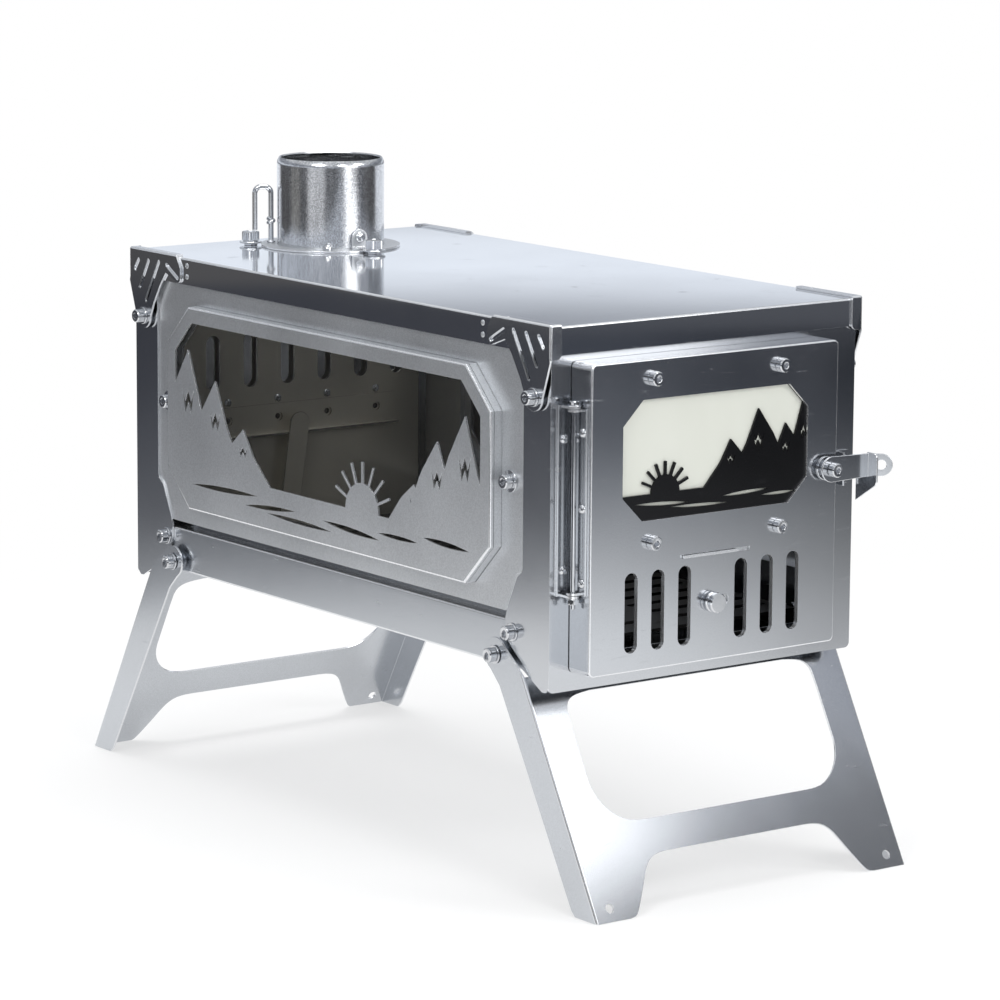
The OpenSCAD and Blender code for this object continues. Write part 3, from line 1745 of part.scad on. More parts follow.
top_plate();
bracket_front_left();
bracket_front_right();
bracket_rear_left();
bracket_rear_right();
bracket_bolts();
lid_rivets();
front_panel();
rear_panel();
left_panel();
right_panel();
base_pan();
rail_bolts();
leg_front();
leg_rear();
leg_pivot_bolts();
leg_spacers();
left_window_frame();
right_window_frame();
left_glass();
right_glass();
left_screen();
right_screen();
window_bolts();
door_shell();
door_screen();
door_glass();
door_glass_clamp();
door_bolts();
slide_guides();
air_slide();
air_knob();
hinge_fixed_leaf();
hinge_door_leaf();
hinge_pin();
hinge_pin_nut();
hinge_fixed_screws();
hinge_door_screws();
latch_lever();
latch_screw();
latch_disc();
latch_spacer();
latch_keeper();
keeper_screws();
flue_collar();
flue_flange();
flue_tabs();
flue_tab_screws();
flange_screws();
flue_studs();
stud_washers();
thumb_nuts();
wire_loop();
rear_liner();
liner_screws();
rear_rail();
rear_strap();
fire_grate();
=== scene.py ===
"""Looks of the folding tent wood stove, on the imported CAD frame.

Sheets are copies of their CAD nodes with bent and deburred edges; screws, nuts, the flue collar
and the wire loop are modelled anew where the frame has them. Metres, door towards -Y, +Z up.
"""

import json
import math

import bmesh
import bpy
import numpy as np
from mathutils import Matrix, Vector

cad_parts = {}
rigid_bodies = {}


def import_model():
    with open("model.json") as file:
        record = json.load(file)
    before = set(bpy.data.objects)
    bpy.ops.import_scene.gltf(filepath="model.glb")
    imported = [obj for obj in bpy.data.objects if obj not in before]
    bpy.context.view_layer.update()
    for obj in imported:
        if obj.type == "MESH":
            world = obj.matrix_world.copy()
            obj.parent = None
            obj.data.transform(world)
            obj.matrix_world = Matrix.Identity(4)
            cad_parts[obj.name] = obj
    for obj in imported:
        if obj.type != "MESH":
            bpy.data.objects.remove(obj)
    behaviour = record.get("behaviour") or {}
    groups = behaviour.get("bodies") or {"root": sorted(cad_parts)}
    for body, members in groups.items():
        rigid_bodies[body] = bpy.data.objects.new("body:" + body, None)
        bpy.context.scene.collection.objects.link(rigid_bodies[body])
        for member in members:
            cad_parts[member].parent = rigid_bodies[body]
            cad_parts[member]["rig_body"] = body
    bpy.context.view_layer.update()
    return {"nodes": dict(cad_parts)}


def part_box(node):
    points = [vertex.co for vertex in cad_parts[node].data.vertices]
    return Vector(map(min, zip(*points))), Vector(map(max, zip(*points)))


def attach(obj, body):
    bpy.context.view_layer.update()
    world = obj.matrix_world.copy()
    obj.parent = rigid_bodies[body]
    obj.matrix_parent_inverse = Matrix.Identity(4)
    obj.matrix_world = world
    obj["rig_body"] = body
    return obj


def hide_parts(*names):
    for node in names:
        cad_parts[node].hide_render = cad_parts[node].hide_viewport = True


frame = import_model()

MM = 0.001

# Camera, as fitted to the photograph
CAMERA_AT = (-1.417045, -1.912468, 0.5938)
CAMERA_YAW = math.radians(36.789)
CAMERA_PITCH = math.radians(10.144)
CAMERA_ROLL = math.radians(0.392)
CAMERA_LENS = 160.954
SENSOR_WIDTH = 36
CLIP_START, CLIP_END = 0.05, 50

# Edges of the sheets: bend radii and the deburred rims
BEND_OUTER = 1.1 * MM
LEG_BEND = 1.9 * MM
DOOR_BEND = 0.8 * MM
RIM = 0.26 * MM
LEG_RIM = 0.12 * MM
GLASS_RIM = 0.4 * MM
BEND_STEPS = 4
RIM_STEPS = 2
SMOOTH_ANGLE = math.radians(32)
SHARP_ANGLE = math.radians(34)
SAME_PLACE = 0.05 * MM
SAME_WAY = 0.9999
WELD = 0.002 * MM
FLAT_ANGLE = math.radians(0.4)

# Places read from the frame
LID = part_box("top_plate")
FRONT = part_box("front_panel")
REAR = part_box("rear_panel")
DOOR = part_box("door_shell")
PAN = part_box("base_pan")
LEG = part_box("leg_front")
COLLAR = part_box("flue_collar")
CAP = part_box("left_screen")
CAP_CUT = 21.5 * MM
SHEET = 1.2 * MM
CUT_WIDTH = 1.02 * SHEET
PAN_WALL = 24 * MM
DOOR_CORNER = 3.2 * MM
LEG_FOLD_START = 165 * MM
LEG_FOLD_LENGTH = 60 * MM


# Shader maths

class Value:
    """A number that varies over a surface. Its operators add Math nodes."""

    def __init__(self, nodes, socket):
        self.nodes = nodes
        self.socket = socket

    def _math(self, operation, first, second):
        made = self.nodes.node("ShaderNodeMath", {"operation": operation}, {0: first, 1: second})
        return Value(self.nodes, made.outputs[0])

    def __add__(self, other):
        return self._math("ADD", self, other)

    def __radd__(self, other):
        return self._math("ADD", other, self)

    def __sub__(self, other):
        return self._math("SUBTRACT", self, other)

    def __rsub__(self, other):
        return self._math("SUBTRACT", other, self)

    def __mul__(self, other):
        return self._math("MULTIPLY", self, other)

    def __rmul__(self, other):
        return self._math("MULTIPLY", other, self)

    def __pow__(self, other):
        return self._math("POWER", self, other)

    def most(self, other):
        return self._math("MAXIMUM", self, other)


class Nodes:
    """The nodes of one material or of the world."""

    def __init__(self, tree):
        self.tree = tree

    def node(self, kind, settings=None, sockets=None):
        made = self.tree.nodes.new(kind)
        for key, value in (settings or {}).items():
            if key == "stops":
                self._stops(made.color_ramp, value)
            else:
                setattr(made, key, value)
        for key, value in (sockets or {}).items():
            self.plug(made.inputs[key], value)
        return made

    def _stops(self, ramp, stops):
        while len(ramp.elements) < len(stops):
            ramp.elements.new(1)
        for element, (place, colour) in zip(ramp.elements, stops):
            element.position = place
            element.color = (*colour, 1)

    def plug(self, socket, value):
        if isinstance(value, Value):
            self.tree.links.new(value.socket, socket)
        elif isinstance(value, bpy.types.NodeSocket):
            self.tree.links.new(value, socket)
        else:
            socket.default_value = value

    def seen_ray(self):
        """1 for rays that see the background directly, by gloss or through glass."""
        path = self.node("ShaderNodeLightPath")
        seen = Value(self, path.outputs["Is Camera Ray"])
        for name in ("Is Glossy Ray", "Is Transmission Ray"):
            seen = seen.most(path.outputs[name])
        return seen


class Finish(Nodes):
    """One material, its main shader and the patterns that feed it."""

    def __init__(self, name, metallic=1.0):
        self.material = bpy.data.materials.new(name)
        self.material.use_nodes = True
        super().__init__(self.material.node_tree)
        self.shader = self.tree.nodes["Principled BSDF"]
        self.plug(self.shader.inputs["Metallic"], metallic)

    def place(self):
        return self.node("ShaderNodeTexCoord").outputs["Object"]

    def part_of_place(self, axis):
        parts = self.node("ShaderNodeSeparateXYZ", sockets={0: self.place()})
        return Value(self, parts.outputs[axis])

    def stretched(self, scale):
        made = self.node("ShaderNodeMapping", sockets={"Vector": self.place(), "Scale": scale})
        return made.outputs[0]

    def noise(self, scale, detail=2.0, roughness=0.5, stretch=None):
        where = self.stretched(stretch) if stretch else self.place()
        made = self.node("ShaderNodeTexNoise", sockets={
            "Vector": where, "Scale": scale, "Detail": detail, "Roughness": roughness})
        return Value(self, made.outputs["Fac"])

    def specks(self, scale, size):
        """1 in small round spots scattered over the surface, 0 between them."""
        made = self.node("ShaderNodeTexVoronoi", {"feature": "F1"},
                         {"Vector": self.place(), "Scale": scale, "Randomness": 1.0})
        return self.ramp(Value(self, made.outputs["Distance"]),
                         [(0, (1, 1, 1)), (size, (0, 0, 0))])

    def ramp(self, value, stops):
        made = self.node("ShaderNodeValToRGB", {"stops": stops}, {"Fac": value})
        return Value(self, made.outputs["Color"])

    def band(self, value, low, high):
        """0 below low, 1 above high and a smooth change between."""
        made = self.node("ShaderNodeMapRange", {"interpolation_type": "SMOOTHSTEP"}, {
            "Value": value, "From Min": low, "From Max": high})
        return Value(self, made.outputs["Result"])

    def colour(self, factor, first, second):
        made = self.node("ShaderNodeMix", {"data_type": "RGBA"}, {
            "Factor": factor, 6: first if isinstance(first, Value) else (*first, 1),
            7: second if isinstance(second, Value) else (*second, 1)})
        return Value(self, made.outputs[2])

    def bump(self, height, strength, distance):
        made = self.node("ShaderNodeBump", sockets={
            "Height": height, "Strength": strength, "Distance": distance})
        self.plug(self.shader.inputs["Normal"], made.outputs["Normal"])

    def set(self, **sockets):
        for key, value in sockets.items():
            self.plug(self.shader.inputs[key.replace("_", " ")], value)


# Finishes

def shade(colour, share):
    return tuple(c * share for c in colour)


# Sizes of the sheets' patterns: scales of the noises, and the grain's and scuffs' thresholds
CLOUD_SCALE, GRAIN_SCALE, SCUFF_SCALE = 18, 1500, 60
GRAIN_EDGES = (0.36, 0.64)
SCUFF_EDGES = (0.62, 0.72)
SCUFF_STRETCH = (1, 1, 6)
DUST_SCALE, DUST_SIZE = 420, 0.09
DUST_COLOUR = (0.8, 0.8, 0.8)
SHEET_BUMP = (0.25, 0.1 * MM)

# Colour, roughness, cloudiness, rolled grain, dust, waves in the surface and share of metal
SHEET_FINISHES = {
    "polished_plate": ((0.72, 0.735, 0.76), 0.085, 0.02, 0.04, 0.06, 0.12, 1.0),
    "panel_steel": ((0.585, 0.60, 0.625), 0.165, 0.10, 0.12, 0.4, 0.25, 1.0),
    "satin_steel": ((0.64, 0.655, 0.675), 0.33, 0.24, 0.8, 0.4, 0.4, 0.8),
    "leg_steel": ((0.58, 0.60, 0.63), 0.20, 0.12, 0.4, 0.35, 0.3, 1.0),
    "dark_steel": ((0.22, 0.215, 0.205), 0.36, 0.18, 0.6, 0.3, 0.4, 1.0),
    "inner_steel": ((0.66, 0.63, 0.55), 0.30, 0.12, 0.4, 0.3, 0.4, 0.5),
    "sooted_steel": ((0.06, 0.058, 0.055), 0.45, 0.25, 0.6, 0.3, 0.2, 1.0),
    # painted highlight: paler than the sheets, for the light that their bends and rims catch
    "painted_highlight_edge": ((0.84, 0.85, 0.87), 0.20, 0.06, 0.1, 0.1, 0.1, 0.85),
    "dull_edge": ((0.50, 0.485, 0.44), 0.22, 0.1, 0.2, 0.1, 0.2, 1.0),
    "screen_black": ((0.035, 0.035, 0.037), 0.3, 0.25, 0.5, 0.15, 0.3, 1.0)
}


def sheet_finish(name):
    """Stainless sheet: cloudy handling marks, a fine rolled grain, scuffs and specks of dust."""
    colour, rough, mottle, grain, dust, waves, metal = SHEET_FINISHES[name]
    steel = Finish(name, metal)
    clouds = steel.noise(CLOUD_SCALE, 3)
    fine = steel.noise(GRAIN_SCALE, 3, 0.7)
    scuffs = steel.band(steel.noise(SCUFF_SCALE, 4, 0.65, SCUFF_STRETCH), *SCUFF_EDGES)
    specks = steel.specks(DUST_SCALE, DUST_SIZE)
    worn = clouds * 0.6 + steel.band(fine, *GRAIN_EDGES) * 0.4
    base = steel.colour(worn, shade(colour, 1 - mottle), shade(colour, 1 + mottle))
    base = steel.colour(specks * dust * 0.5, base, DUST_COLOUR)
    steel.set(Base_Color=base,
              Roughness=(clouds * 0.5 + fine * 0.5 - 0.5) * 0.16 + scuffs * 0.08
              + specks * dust * 0.4 + rough)
    steel.bump(fine * grain + clouds * waves, *SHEET_BUMP)
    return steel.material


def screw_steel():
    steel = Finish("screw_steel")
    fine = steel.noise(1900, 2)
    clouds = steel.noise(140, 2)
    steel.set(Base_Color=steel.colour(clouds, (0.56, 0.57, 0.59), (0.76, 0.77, 0.79)),
              Roughness=fine * 0.08 + 0.10)
    steel.bump(fine, 0.12, 0.05 * MM)
    return steel.material


def collar_steel():
    """Drawn tube: a finely speckled skin with faint darker drag marks along the tube."""
    steel = Finish("collar_steel")
    speckle = steel.noise(1500, 2, 0.8)
    drags = steel.noise(200, 3, 0.6, (1, 1, 0.08))
    mix = speckle * 0.8 + drags * 0.2
    steel.set(Base_Color=steel.colour(steel.band(mix, 0.36, 0.64),
                                      (0.42, 0.43, 0.45), (0.80, 0.81, 0.83)),
              Roughness=speckle * 0.12 + drags * 0.06 + 0.10)
    steel.bump(speckle, 0.3, 0.06 * MM)
    return steel.material


def side_glass():
    """Smoke-tinted ceramic glass that shows the inside of the fire box."""
    glass = Finish("side_glass", 0.0)
    smear = glass.noise(30, 3)
    glass.set(Base_Color=glass.colour(smear, (0.020, 0.019, 0.016), (0.032, 0.030, 0.025)),
              Roughness=smear * 0.05 + 0.02,
              Alpha=smear * 0.05 + 0.17)
    return glass.material


def door_glass():
    """Pane that looks cream from outside, with faint streaks."""
    glass = Finish("door_glass", 0.0)
    streaks = glass.noise(22, 3, 0.5, (1, 1, 0.3))
    glass.set(Base_Color=glass.colour(streaks, (0.62, 0.63, 0.565), (0.72, 0.73, 0.67)),
              Roughness=streaks * 0.06 + 0.05)
    return glass.material


FINISHES = {name: sheet_finish(name) for name in SHEET_FINISHES}
FINISHES.update({
    "screw_steel": screw_steel(), "collar_steel": collar_steel(),
    "side_glass": side_glass(), "door_glass": door_glass()
})
# What shows on a sheet's bends, cut faces and deburred rims. The pale edge finish is a painted
# highlight for the light that bends and rims catch, on cut faces partly also the burnish that
# tools leave; the dull one is a plainly duller tone
EDGE_FINISHES = {
    "polished_plate": "painted_highlight_edge", "panel_steel": "painted_highlight_edge", "satin_steel": "painted_highlight_edge",
    "leg_steel": "painted_highlight_edge", "inner_steel": "dull_edge", "dark_steel": "dull_edge"
}


# Pieces

def body_of(node):
    return frame["nodes"][node]["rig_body"]


def piece(name, bm, finish, body, replaced):
    """A mesh object in the row frame that rides on a body and stands for its CAD nodes."""
    mesh = bpy.data.meshes.new(name)
    bm.to_mesh(mesh)
    bm.free()
    mesh.shade_smooth()
    mesh.set_sharp_from_angle(angle=SMOOTH_ANGLE)
    mesh.materials.append(FINISHES[finish])
    mesh.materials.append(FINISHES[EDGE_FINISHES.get(finish, finish)])
    made = bpy.data.objects.new(name, mesh)
    bpy.context.scene.collection.objects.link(made)
    flat = made.modifiers.new("flat sheets", "WEIGHTED_NORMAL")
    flat.keep_sharp = True
    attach(made, body)
    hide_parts(*replaced)


def merged_copy(node):
    """The CAD node's shape with its triangles joined and its flat faces whole."""
    bm = bmesh.new()
    bm.from_mesh(frame["nodes"][node].data)
    bmesh.ops.remove_doubles(bm, verts=bm.verts, dist=WELD)
    bmesh.ops.dissolve_limit(bm, angle_limit=FLAT_ANGLE, verts=bm.verts, edges=bm.edges)
    return bm


def near(value, *planes):
    return any(abs(value - plane) < SAME_PLACE for plane in planes)


def round_edges(bm, chosen, radius, steps, clamp=True):
    """Bevels the chosen sharp edges and gives the new faces the piece's second finish, on most
    sheets a painted highlight.
    """
    edges = [e for e in bm.edges if e.calc_face_angle(0) > SHARP_ANGLE and chosen(e)]
    if edges:
        made = bmesh.ops.bevel(bm, geom=edges, offset=radius, segments=steps, profile=0.5,
                               affect="EDGES", material=-1, clamp_overlap=clamp)
        for face in made["faces"]:
            face.material_index = 1


def is_narrow(face):
    return 2 * face.calc_area() < CUT_WIDTH * face.calc_perimeter()


def brighten_cuts(bm):
    """Gives the sheet's narrow cut faces the piece's second finish, slivers of a flat apart; on
    most sheets that finish is a painted highlight.
    """
    for face in bm.faces:
        beside = [other for edge in face.edges for other in edge.link_faces if other is not face]
        in_flat = any(other.normal.dot(face.normal) > SAME_WAY and not is_narrow(other)
                      for other in beside)
        if is_narrow(face) and not in_flat:
            face.material_index = 1


def dressed(node, finish, fold=None, bend=BEND_OUTER, rim=RIM, clamp=True):
    """Copy of a CAD sheet: a bend radius on its folds, a small rim on the other edges."""
    bm = merged_copy(node)
    brighten_cuts(bm)
    if fold:
        round_edges(bm, fold, bend, BEND_STEPS)
    round_edges(bm, lambda edge: not (fold and fold(edge)), rim, RIM_STEPS, clamp)
    piece(node + "_sheet", bm, finish, body_of(node), [node])


def both(edge, test):
    return all(test(v.co) for v in edge.verts)


def corner_edge(x, y):
    """Edges that run along Z at any of the given places."""
    return lambda e: both(e, lambda p: near(p.x, *x) and near(p.y, *y))


def lid_fold(edge):
    low, high = LID
    on_top = both(edge, lambda p: near(p.z, high.z))
    on_side = both(edge, lambda p: near(p.x, low.x, high.x))
    on_end = both(edge, lambda p: near(p.y, low.y, high.y))
    return on_top and (on_side or on_end)


def door_fold(edge):
    low, high = DOOR
    on_face = both(edge, lambda p: near(p.y, low.y))
    inside = min(min(p.co.x - low.x, high.x - p.co.x, p.co.z - low.z, high.z - p.co.z)
                 for p in edge.verts)
    return on_face and inside < DOOR_CORNER


def pan_fold(edge):
    low, high = PAN
    on_side = both(edge, lambda p: near(p.x, low.x, high.x))
    return on_side and (both(edge, lambda p: near(p.z, low.z))
                        or both(edge, lambda p: near(p.z, low.z + PAN_WALL)))


def cap_fold(x_face):
    """Outer rim of a window cap, whose face lies at x_face."""
    return lambda e: both(e, lambda p: near(p.x, x_face) and on_cap_outline(p))


def on_cap_outline(p):
    """True on the octagon that is the cap's outline."""
    low, high = CAP
    to_end = high.y - abs(p.y)
    to_edge = min(high.z - p.z, p.z - low.z)
    on_straight = min(to_end, to_edge) < SAME_PLACE
    on_cut = abs(to_end + to_edge - CAP_CUT) < SAME_PLACE
    return on_straight or on_cut


def leg_fold_edges(edge):
    """Edges where a leg's plate turns into its side flanges."""
    low, high = LEG
    on_side = both(edge, lambda p: near(p.x, low.x, high.x))
    a, b = edge.verts
    run = b.co - a.co
    slopes = abs(run.z) > 0.5 * run.length and abs(run.y) > 0.3 * run.length
    on_plate = run.length > LEG_FOLD_LENGTH and abs(a.co.y) > LEG_FOLD_START
    return on_side and slopes and on_plate and is_front_edge(edge)


def is_front_edge(edge):
    """True where one face looks sideways and the other outwards and up."""
    normals = [f.normal for f in edge.link_faces]
    sideways = any(abs(n.x) > 0.9 for n in normals)
    outwards = any(n.z > 0.3 and abs(n.y) > 0.5 for n in normals)
    return sideways and outwards


def bracket_fold(node, side, end):
    """Edges where a corner bracket's two walls and its upper lip meet."""
    low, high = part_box(node)
    out_x = low.x if side == "left" else high.x
    out_y = low.y if end == "front" else high.y

    def chosen(edge):
        planes = [both(edge, lambda p: near(p.x, out_x)),
                  both(edge, lambda p: near(p.y, out_y)),
                  both(edge, lambda p: near(p.z, high.z))]
        return sum(planes) >= 2
    return chosen


def dress_sheets():
    sides = (FRONT[0].x, FRONT[1].x)
    dressed("top_plate", "polished_plate", fold=lid_fold)
    dressed("front_panel", "panel_steel", fold=corner_edge(sides, (FRONT[0].y,)))
    dressed("rear_panel", "panel_steel", fold=corner_edge(sides, (REAR[1].y,)))
    for side in ("left", "right"):
        face = CAP[0].x if side == "left" else -CAP[0].x
        dressed(side + "_panel", "satin_steel")
        dressed(side + "_window_frame", "satin_steel")
        dressed(side + "_screen", "satin_steel", fold=cap_fold(face))
        dressed(side + "_glass", "side_glass", rim=GLASS_RIM)
        for end in ("front", "rear"):
            node = f"bracket_{end}_{side}"
            dressed(node, "panel_steel", fold=bracket_fold(node, side, end))
    dressed("base_pan", "leg_steel", fold=pan_fold)
    # The legs' cut-outs have edges too short for a rim that keeps within them
    for node in ("leg_front", "leg_rear"):
        dressed(node, "leg_steel", fold=leg_fold_edges, bend=LEG_BEND, rim=LEG_RIM, clamp=False)
    dressed("door_shell", "panel_steel", fold=door_fold, bend=DOOR_BEND)
    dressed("door_screen", "screen_black")
    dressed("door_glass", "door_glass", rim=GLASS_RIM)
    for node in ("door_glass_clamp", "slide_guides"):
        dressed(node, "dark_steel")
    dressed("air_slide", "satin_steel")
    for node in ("hinge_fixed_leaf", "hinge_door_leaf", "latch_lever", "latch_keeper"):
        dressed(node, "panel_steel")
    for node in ("flue_flange", "flue_tabs"):
        dressed(node, "satin_steel")
    for node in ("rear_liner", "rear_rail", "rear_strap"):
        dressed(node, "inner_steel")
    dressed("fire_grate", "sooted_steel")


# Turned parts: a profile of (radius, height) points is spun round Z, then set in place

TURN_STEPS = 36
SMALL_STEPS = 24
HEX_TURN = math.radians(60)
ON_RADIUS = 0.01 * MM


def spun(profile, steps=TURN_STEPS, closed=False):
    bm = bmesh.new()
    chain = [bm.verts.new((r, 0, z)) for r, z in profile]
    edges = [bm.edges.new(pair) for pair in zip(chain, chain[1:])]
    if closed:
        edges.append(bm.edges.new((chain[-1], chain[0])))
    bmesh.ops.spin(bm, geom=chain + edges, cent=(0, 0, 0), axis=(0, 0, 1),
                   angle=math.tau, steps=steps, use_merge=True)
    bmesh.ops.remove_doubles(bm, verts=bm.verts, dist=0.001 * MM)
    bmesh.ops.recalc_face_normals(bm, faces=bm.faces)
    return bm


def hexed(bm, radius, low, high):
    """Moves the points that lie at that radius on to a hexagon with these corners."""
    for v in bm.verts:
        r = math.hypot(v.co.x, v.co.y)
        if abs(r - radius) < ON_RADIUS and low <= v.co.z <= high:
            angle = math.atan2(v.co.y, v.co.x) % HEX_TURN - HEX_TURN / 2
            flat = radius * math.cos(HEX_TURN / 2) / math.cos(angle)
            v.co.x *= flat / r
            v.co.y *= flat / r


def fluted(bm, radius, depth, low, high, steps=TURN_STEPS):
    """Presses every second point at that radius inwards, as on a knurled head."""
    for v in bm.verts:
        r = math.hypot(v.co.x, v.co.y)
        if abs(r - radius) < ON_RADIUS and low < v.co.z < high:
            if round(math.atan2(v.co.y, v.co.x) / math.tau * steps) % 2:
                v.co.x *= 1 - depth / r
                v.co.y *= 1 - depth / r


def put(parts, at, axis):
    """One bmesh of all the parts, with their +Z turned to the axis and their origin at a point."""
    turn = Vector((0, 0, 1)).rotation_difference(Vector(axis)).to_matrix().to_4x4()
    whole = bmesh.new()
    for part in parts:
        bmesh.ops.transform(part, matrix=Matrix.Translation(at) @ turn, verts=part.verts)
        hold = bpy.data.meshes.new("part")
        part.to_mesh(hold)
        part.free()
        whole.from_mesh(hold)
        bpy.data.meshes.remove(hold)
    return whole


def joined(parts):
    return put(parts, (0, 0, 0), (0, 0, 1))


def cap_head(radius, height, socket, depth, shank, length):
    """Socket cap screw: knurled head above z = 0 and a shank with a few threads at its end."""
    rim = radius * 0.1
    profile = [(0, height - depth), (socket, height - depth), (socket, height - rim / 2),
               (socket + rim / 2, height), (radius - rim * 1.5, height),
               (radius, height - rim * 1.5), (radius, rim), (radius - rim, 0), (shank, 0)]
    profile += thread(shank, -length * 0.55, -length)
    bm = spun(profile)
    hexed(bm, socket, height - depth - MM, height)
    fluted(bm, radius, rim * 0.45, rim / 2, height - rim)
    return bm


def thread(radius, start, end, turns=5):
    """Profile of a threaded end: shallow vees, a chamfer and the flat tip."""
    pitch = (end - start) / (turns + 1)
    depth = radius * 0.12
    points = []
    for k in range(turns):
        points += [(radius, start + k * pitch), (radius - depth, start + (k + 0.5) * pitch)]
    return points + [(radius, end - pitch), (radius - depth * 2, end), (0, end)]


def washer(radius, bore, height):
    rim = height * 0.22
    return spun([(bore, 0), (radius - rim, 0), (radius, rim), (radius, height - rim),
                 (radius - rim, height), (bore, height)], closed=True)


def nut(radius, bore, height):
    rim = height * 0.12
    side = radius * math.cos(HEX_TURN / 2)
    bm = spun([(bore, rim), (bore + rim, 0), (side, 0), (radius, rim), (radius, height - rim),
               (side, height), (bore + rim, height), (bore, height - rim)], closed=True)
    hexed(bm, radius, 0, height)
    return bm


def islands(node):
    """(low, high) corners of each loose solid in a CAD node."""
    bm = bmesh.new()
    bm.from_mesh(frame["nodes"][node].data)
    bmesh.ops.remove_doubles(bm, verts=bm.verts, dist=WELD)
    met = set()
    boxes = []
    for seed in bm.verts:
        if seed in met:
            continue
        met.add(seed)
        group, queue = [seed], [seed]
        while queue:
            for edge in queue.pop().link_edges:
                for v in edge.verts:
                    if v not in met:
                        met.add(v)
                        group.append(v)
                        queue.append(v)
        points = np.array([v.co for v in group])
        boxes.append((Vector(points.min(0)), Vector(points.max(0))))
    bm.free()
    return boxes


def along(box, axis):
    """(foot, length, radius) of a turned part whose box and outward axis are given."""
    low, high = box
    axis = Vector(axis)
    middle = (low + high) / 2
    length = abs((high - low).dot(axis))
    across = [s for s, a in zip(high - low, axis) if abs(a) < 0.5]
    return middle - axis * length / 2, length, max(across) / 2


# Screw heads: radius, height and the shank's radius
CAP_HEAD = (3.7 * MM, 4.4 * MM, 2 * MM)
LOW_HEAD = (2.4 * MM, 1.6 * MM, 1.4 * MM)
CAP_SOCKET, CAP_SOCKET_DEPTH = 1.75 * MM, 2.4 * MM
WASHER_LIMIT = 1.6 * MM
BORE_EASE = 1.05
SCREW_SHARE = 0.75


def bolt_sets(node, way, head=CAP_HEAD):
    """Screws, washers and nuts of a node, each made in its own solid's box.

    way gives the outward axis for a place. The longest solids are the screws.
    """
    made = []
    boxes = islands(node)
    longest = max(along(box, way((box[0] + box[1]) / 2))[1] for box in boxes)
    for box in boxes:
        axis = way((box[0] + box[1]) / 2)
        foot, length, radius = along(box, axis)
        if length > longest * SCREW_SHARE:
            made.append(put([screw_in(length, head)], foot + axis * (length - head[1]), axis))
        elif length < WASHER_LIMIT:
            made.append(put([washer(radius, head[2] * BORE_EASE, length)], foot, axis))
        else:
            made.append(put([nut(radius, head[2], length)], foot, axis))
    piece(node + "_set", joined(made), "screw_steel", body_of(node), [node])


def screw_in(length, head):
    radius, height, shank = head
    if head == CAP_HEAD:
        return cap_head(radius, height, CAP_SOCKET, CAP_SOCKET_DEPTH, shank, length - height)
    return button_head(radius, height, shank, length - height)


def button_head(radius, height, shank, length):
    """Low domed head with a hexagon socket."""
    socket = shank * 0.62
    dome = [(math.cos(t) * radius, math.sin(t) * height * 0.8 + height * 0.2)
            for t in (math.radians(a) for a in (0, 20, 40, 58))]
    profile = [(0, height * 0.5), (socket, height * 0.5), (socket, dome[-1][1] + height * 0.02)]
    profile += dome[::-1] + [(radius, 0), (shank, 0)] + thread(shank, -length * 0.4, -length, 3)
    bm = spun(profile, SMALL_STEPS)
    hexed(bm, socket, 0, height)
    return bm


def sideways(p):
    return Vector((math.copysign(1, p.x), 0, 0))


def forwards(p):
    return Vector((0, -1, 0))


def leftwards(p):
    return Vector((-1, 0, 0))


def upwards(p):
    return Vector((0, 0, 1))


def make_fasteners():
    for node in ("bracket_bolts", "rail_bolts", "leg_pivot_bolts", "window_bolts"):
        bolt_sets(node, sideways)
    for node in ("door_bolts", "latch_screw"):
        bolt_sets(node, forwards)
    for node in ("hinge_fixed_screws", "keeper_screws", "liner_screws"):
        bolt_sets(node, forwards, LOW_HEAD)
    bolt_sets("hinge_door_screws", leftwards, LOW_HEAD)
    make_spacers("leg_spacers", sideways)
    make_spacers("latch_spacer", forwards)
    make_spacers("latch_disc", forwards)
    make_spacers("stud_washers", upwards)
    make_rivets()
    make_collar_screws()


def make_spacers(node, way):
    made = []
    for box in islands(node):
        axis = way((box[0] + box[1]) / 2)
        foot, length, radius = along(box, axis)
        made.append(put([washer(radius, CAP_HEAD[2] * BORE_EASE, length)], foot, axis))
    piece(node + "_ring", joined(made), "screw_steel", body_of(node), [node])


def make_rivets():
    """Domed rivet heads on the lid's long lips."""
    head, shank = 0.5 * MM, 1.05 * MM
    made = []
    for box in islands("lid_rivets"):
        axis = sideways(box[0])
        foot, length, radius = along(box, axis)
        dome = [(radius * math.cos(t), length - head + head * math.sin(t))
                for t in (math.radians(a) for a in (65, 40, 20, 0))]
        profile = [(0, length)] + dome + [(shank, length - head), (shank, 0), (0, 0)]
        made.append(put([spun(profile, SMALL_STEPS)], foot, axis))
    piece("lid_rivet_heads", joined(made), "satin_steel", "stove", ["lid_rivets"])


TAB_HEAD = (3.2 * MM, 2.2 * MM, LOW_HEAD[2])
TAB_SCREW_LENGTH = 6.6 * MM
FLANGE_HEAD = (2.8 * MM, 3.4 * MM, LOW_HEAD[2])


def collar_axis():
    low, high = COLLAR
    return Vector(((low.x + high.x) / 2, (low.y + high.y) / 2, 0))


def make_collar_screws():
    """Screws through the collar's tabs and those that hold its flange to the lid."""
    centre = collar_axis()
    made = []
    for box in islands("flue_tab_screws"):
        middle = (box[0] + box[1]) / 2
        out = (middle - centre) * Vector((1, 1, 0))
        out.normalize()
        head = screw_in(TAB_SCREW_LENGTH, TAB_HEAD)
        made.append(put([head], middle + out * (TAB_SCREW_LENGTH / 2 - TAB_HEAD[1]), out))
    piece("tab_screws", joined(made), "screw_steel", "stove", ["flue_tab_screws"])
    bolt_sets("flange_screws", upwards, FLANGE_HEAD)


# Knob and hinge pin

KNURL_STEPS = 48


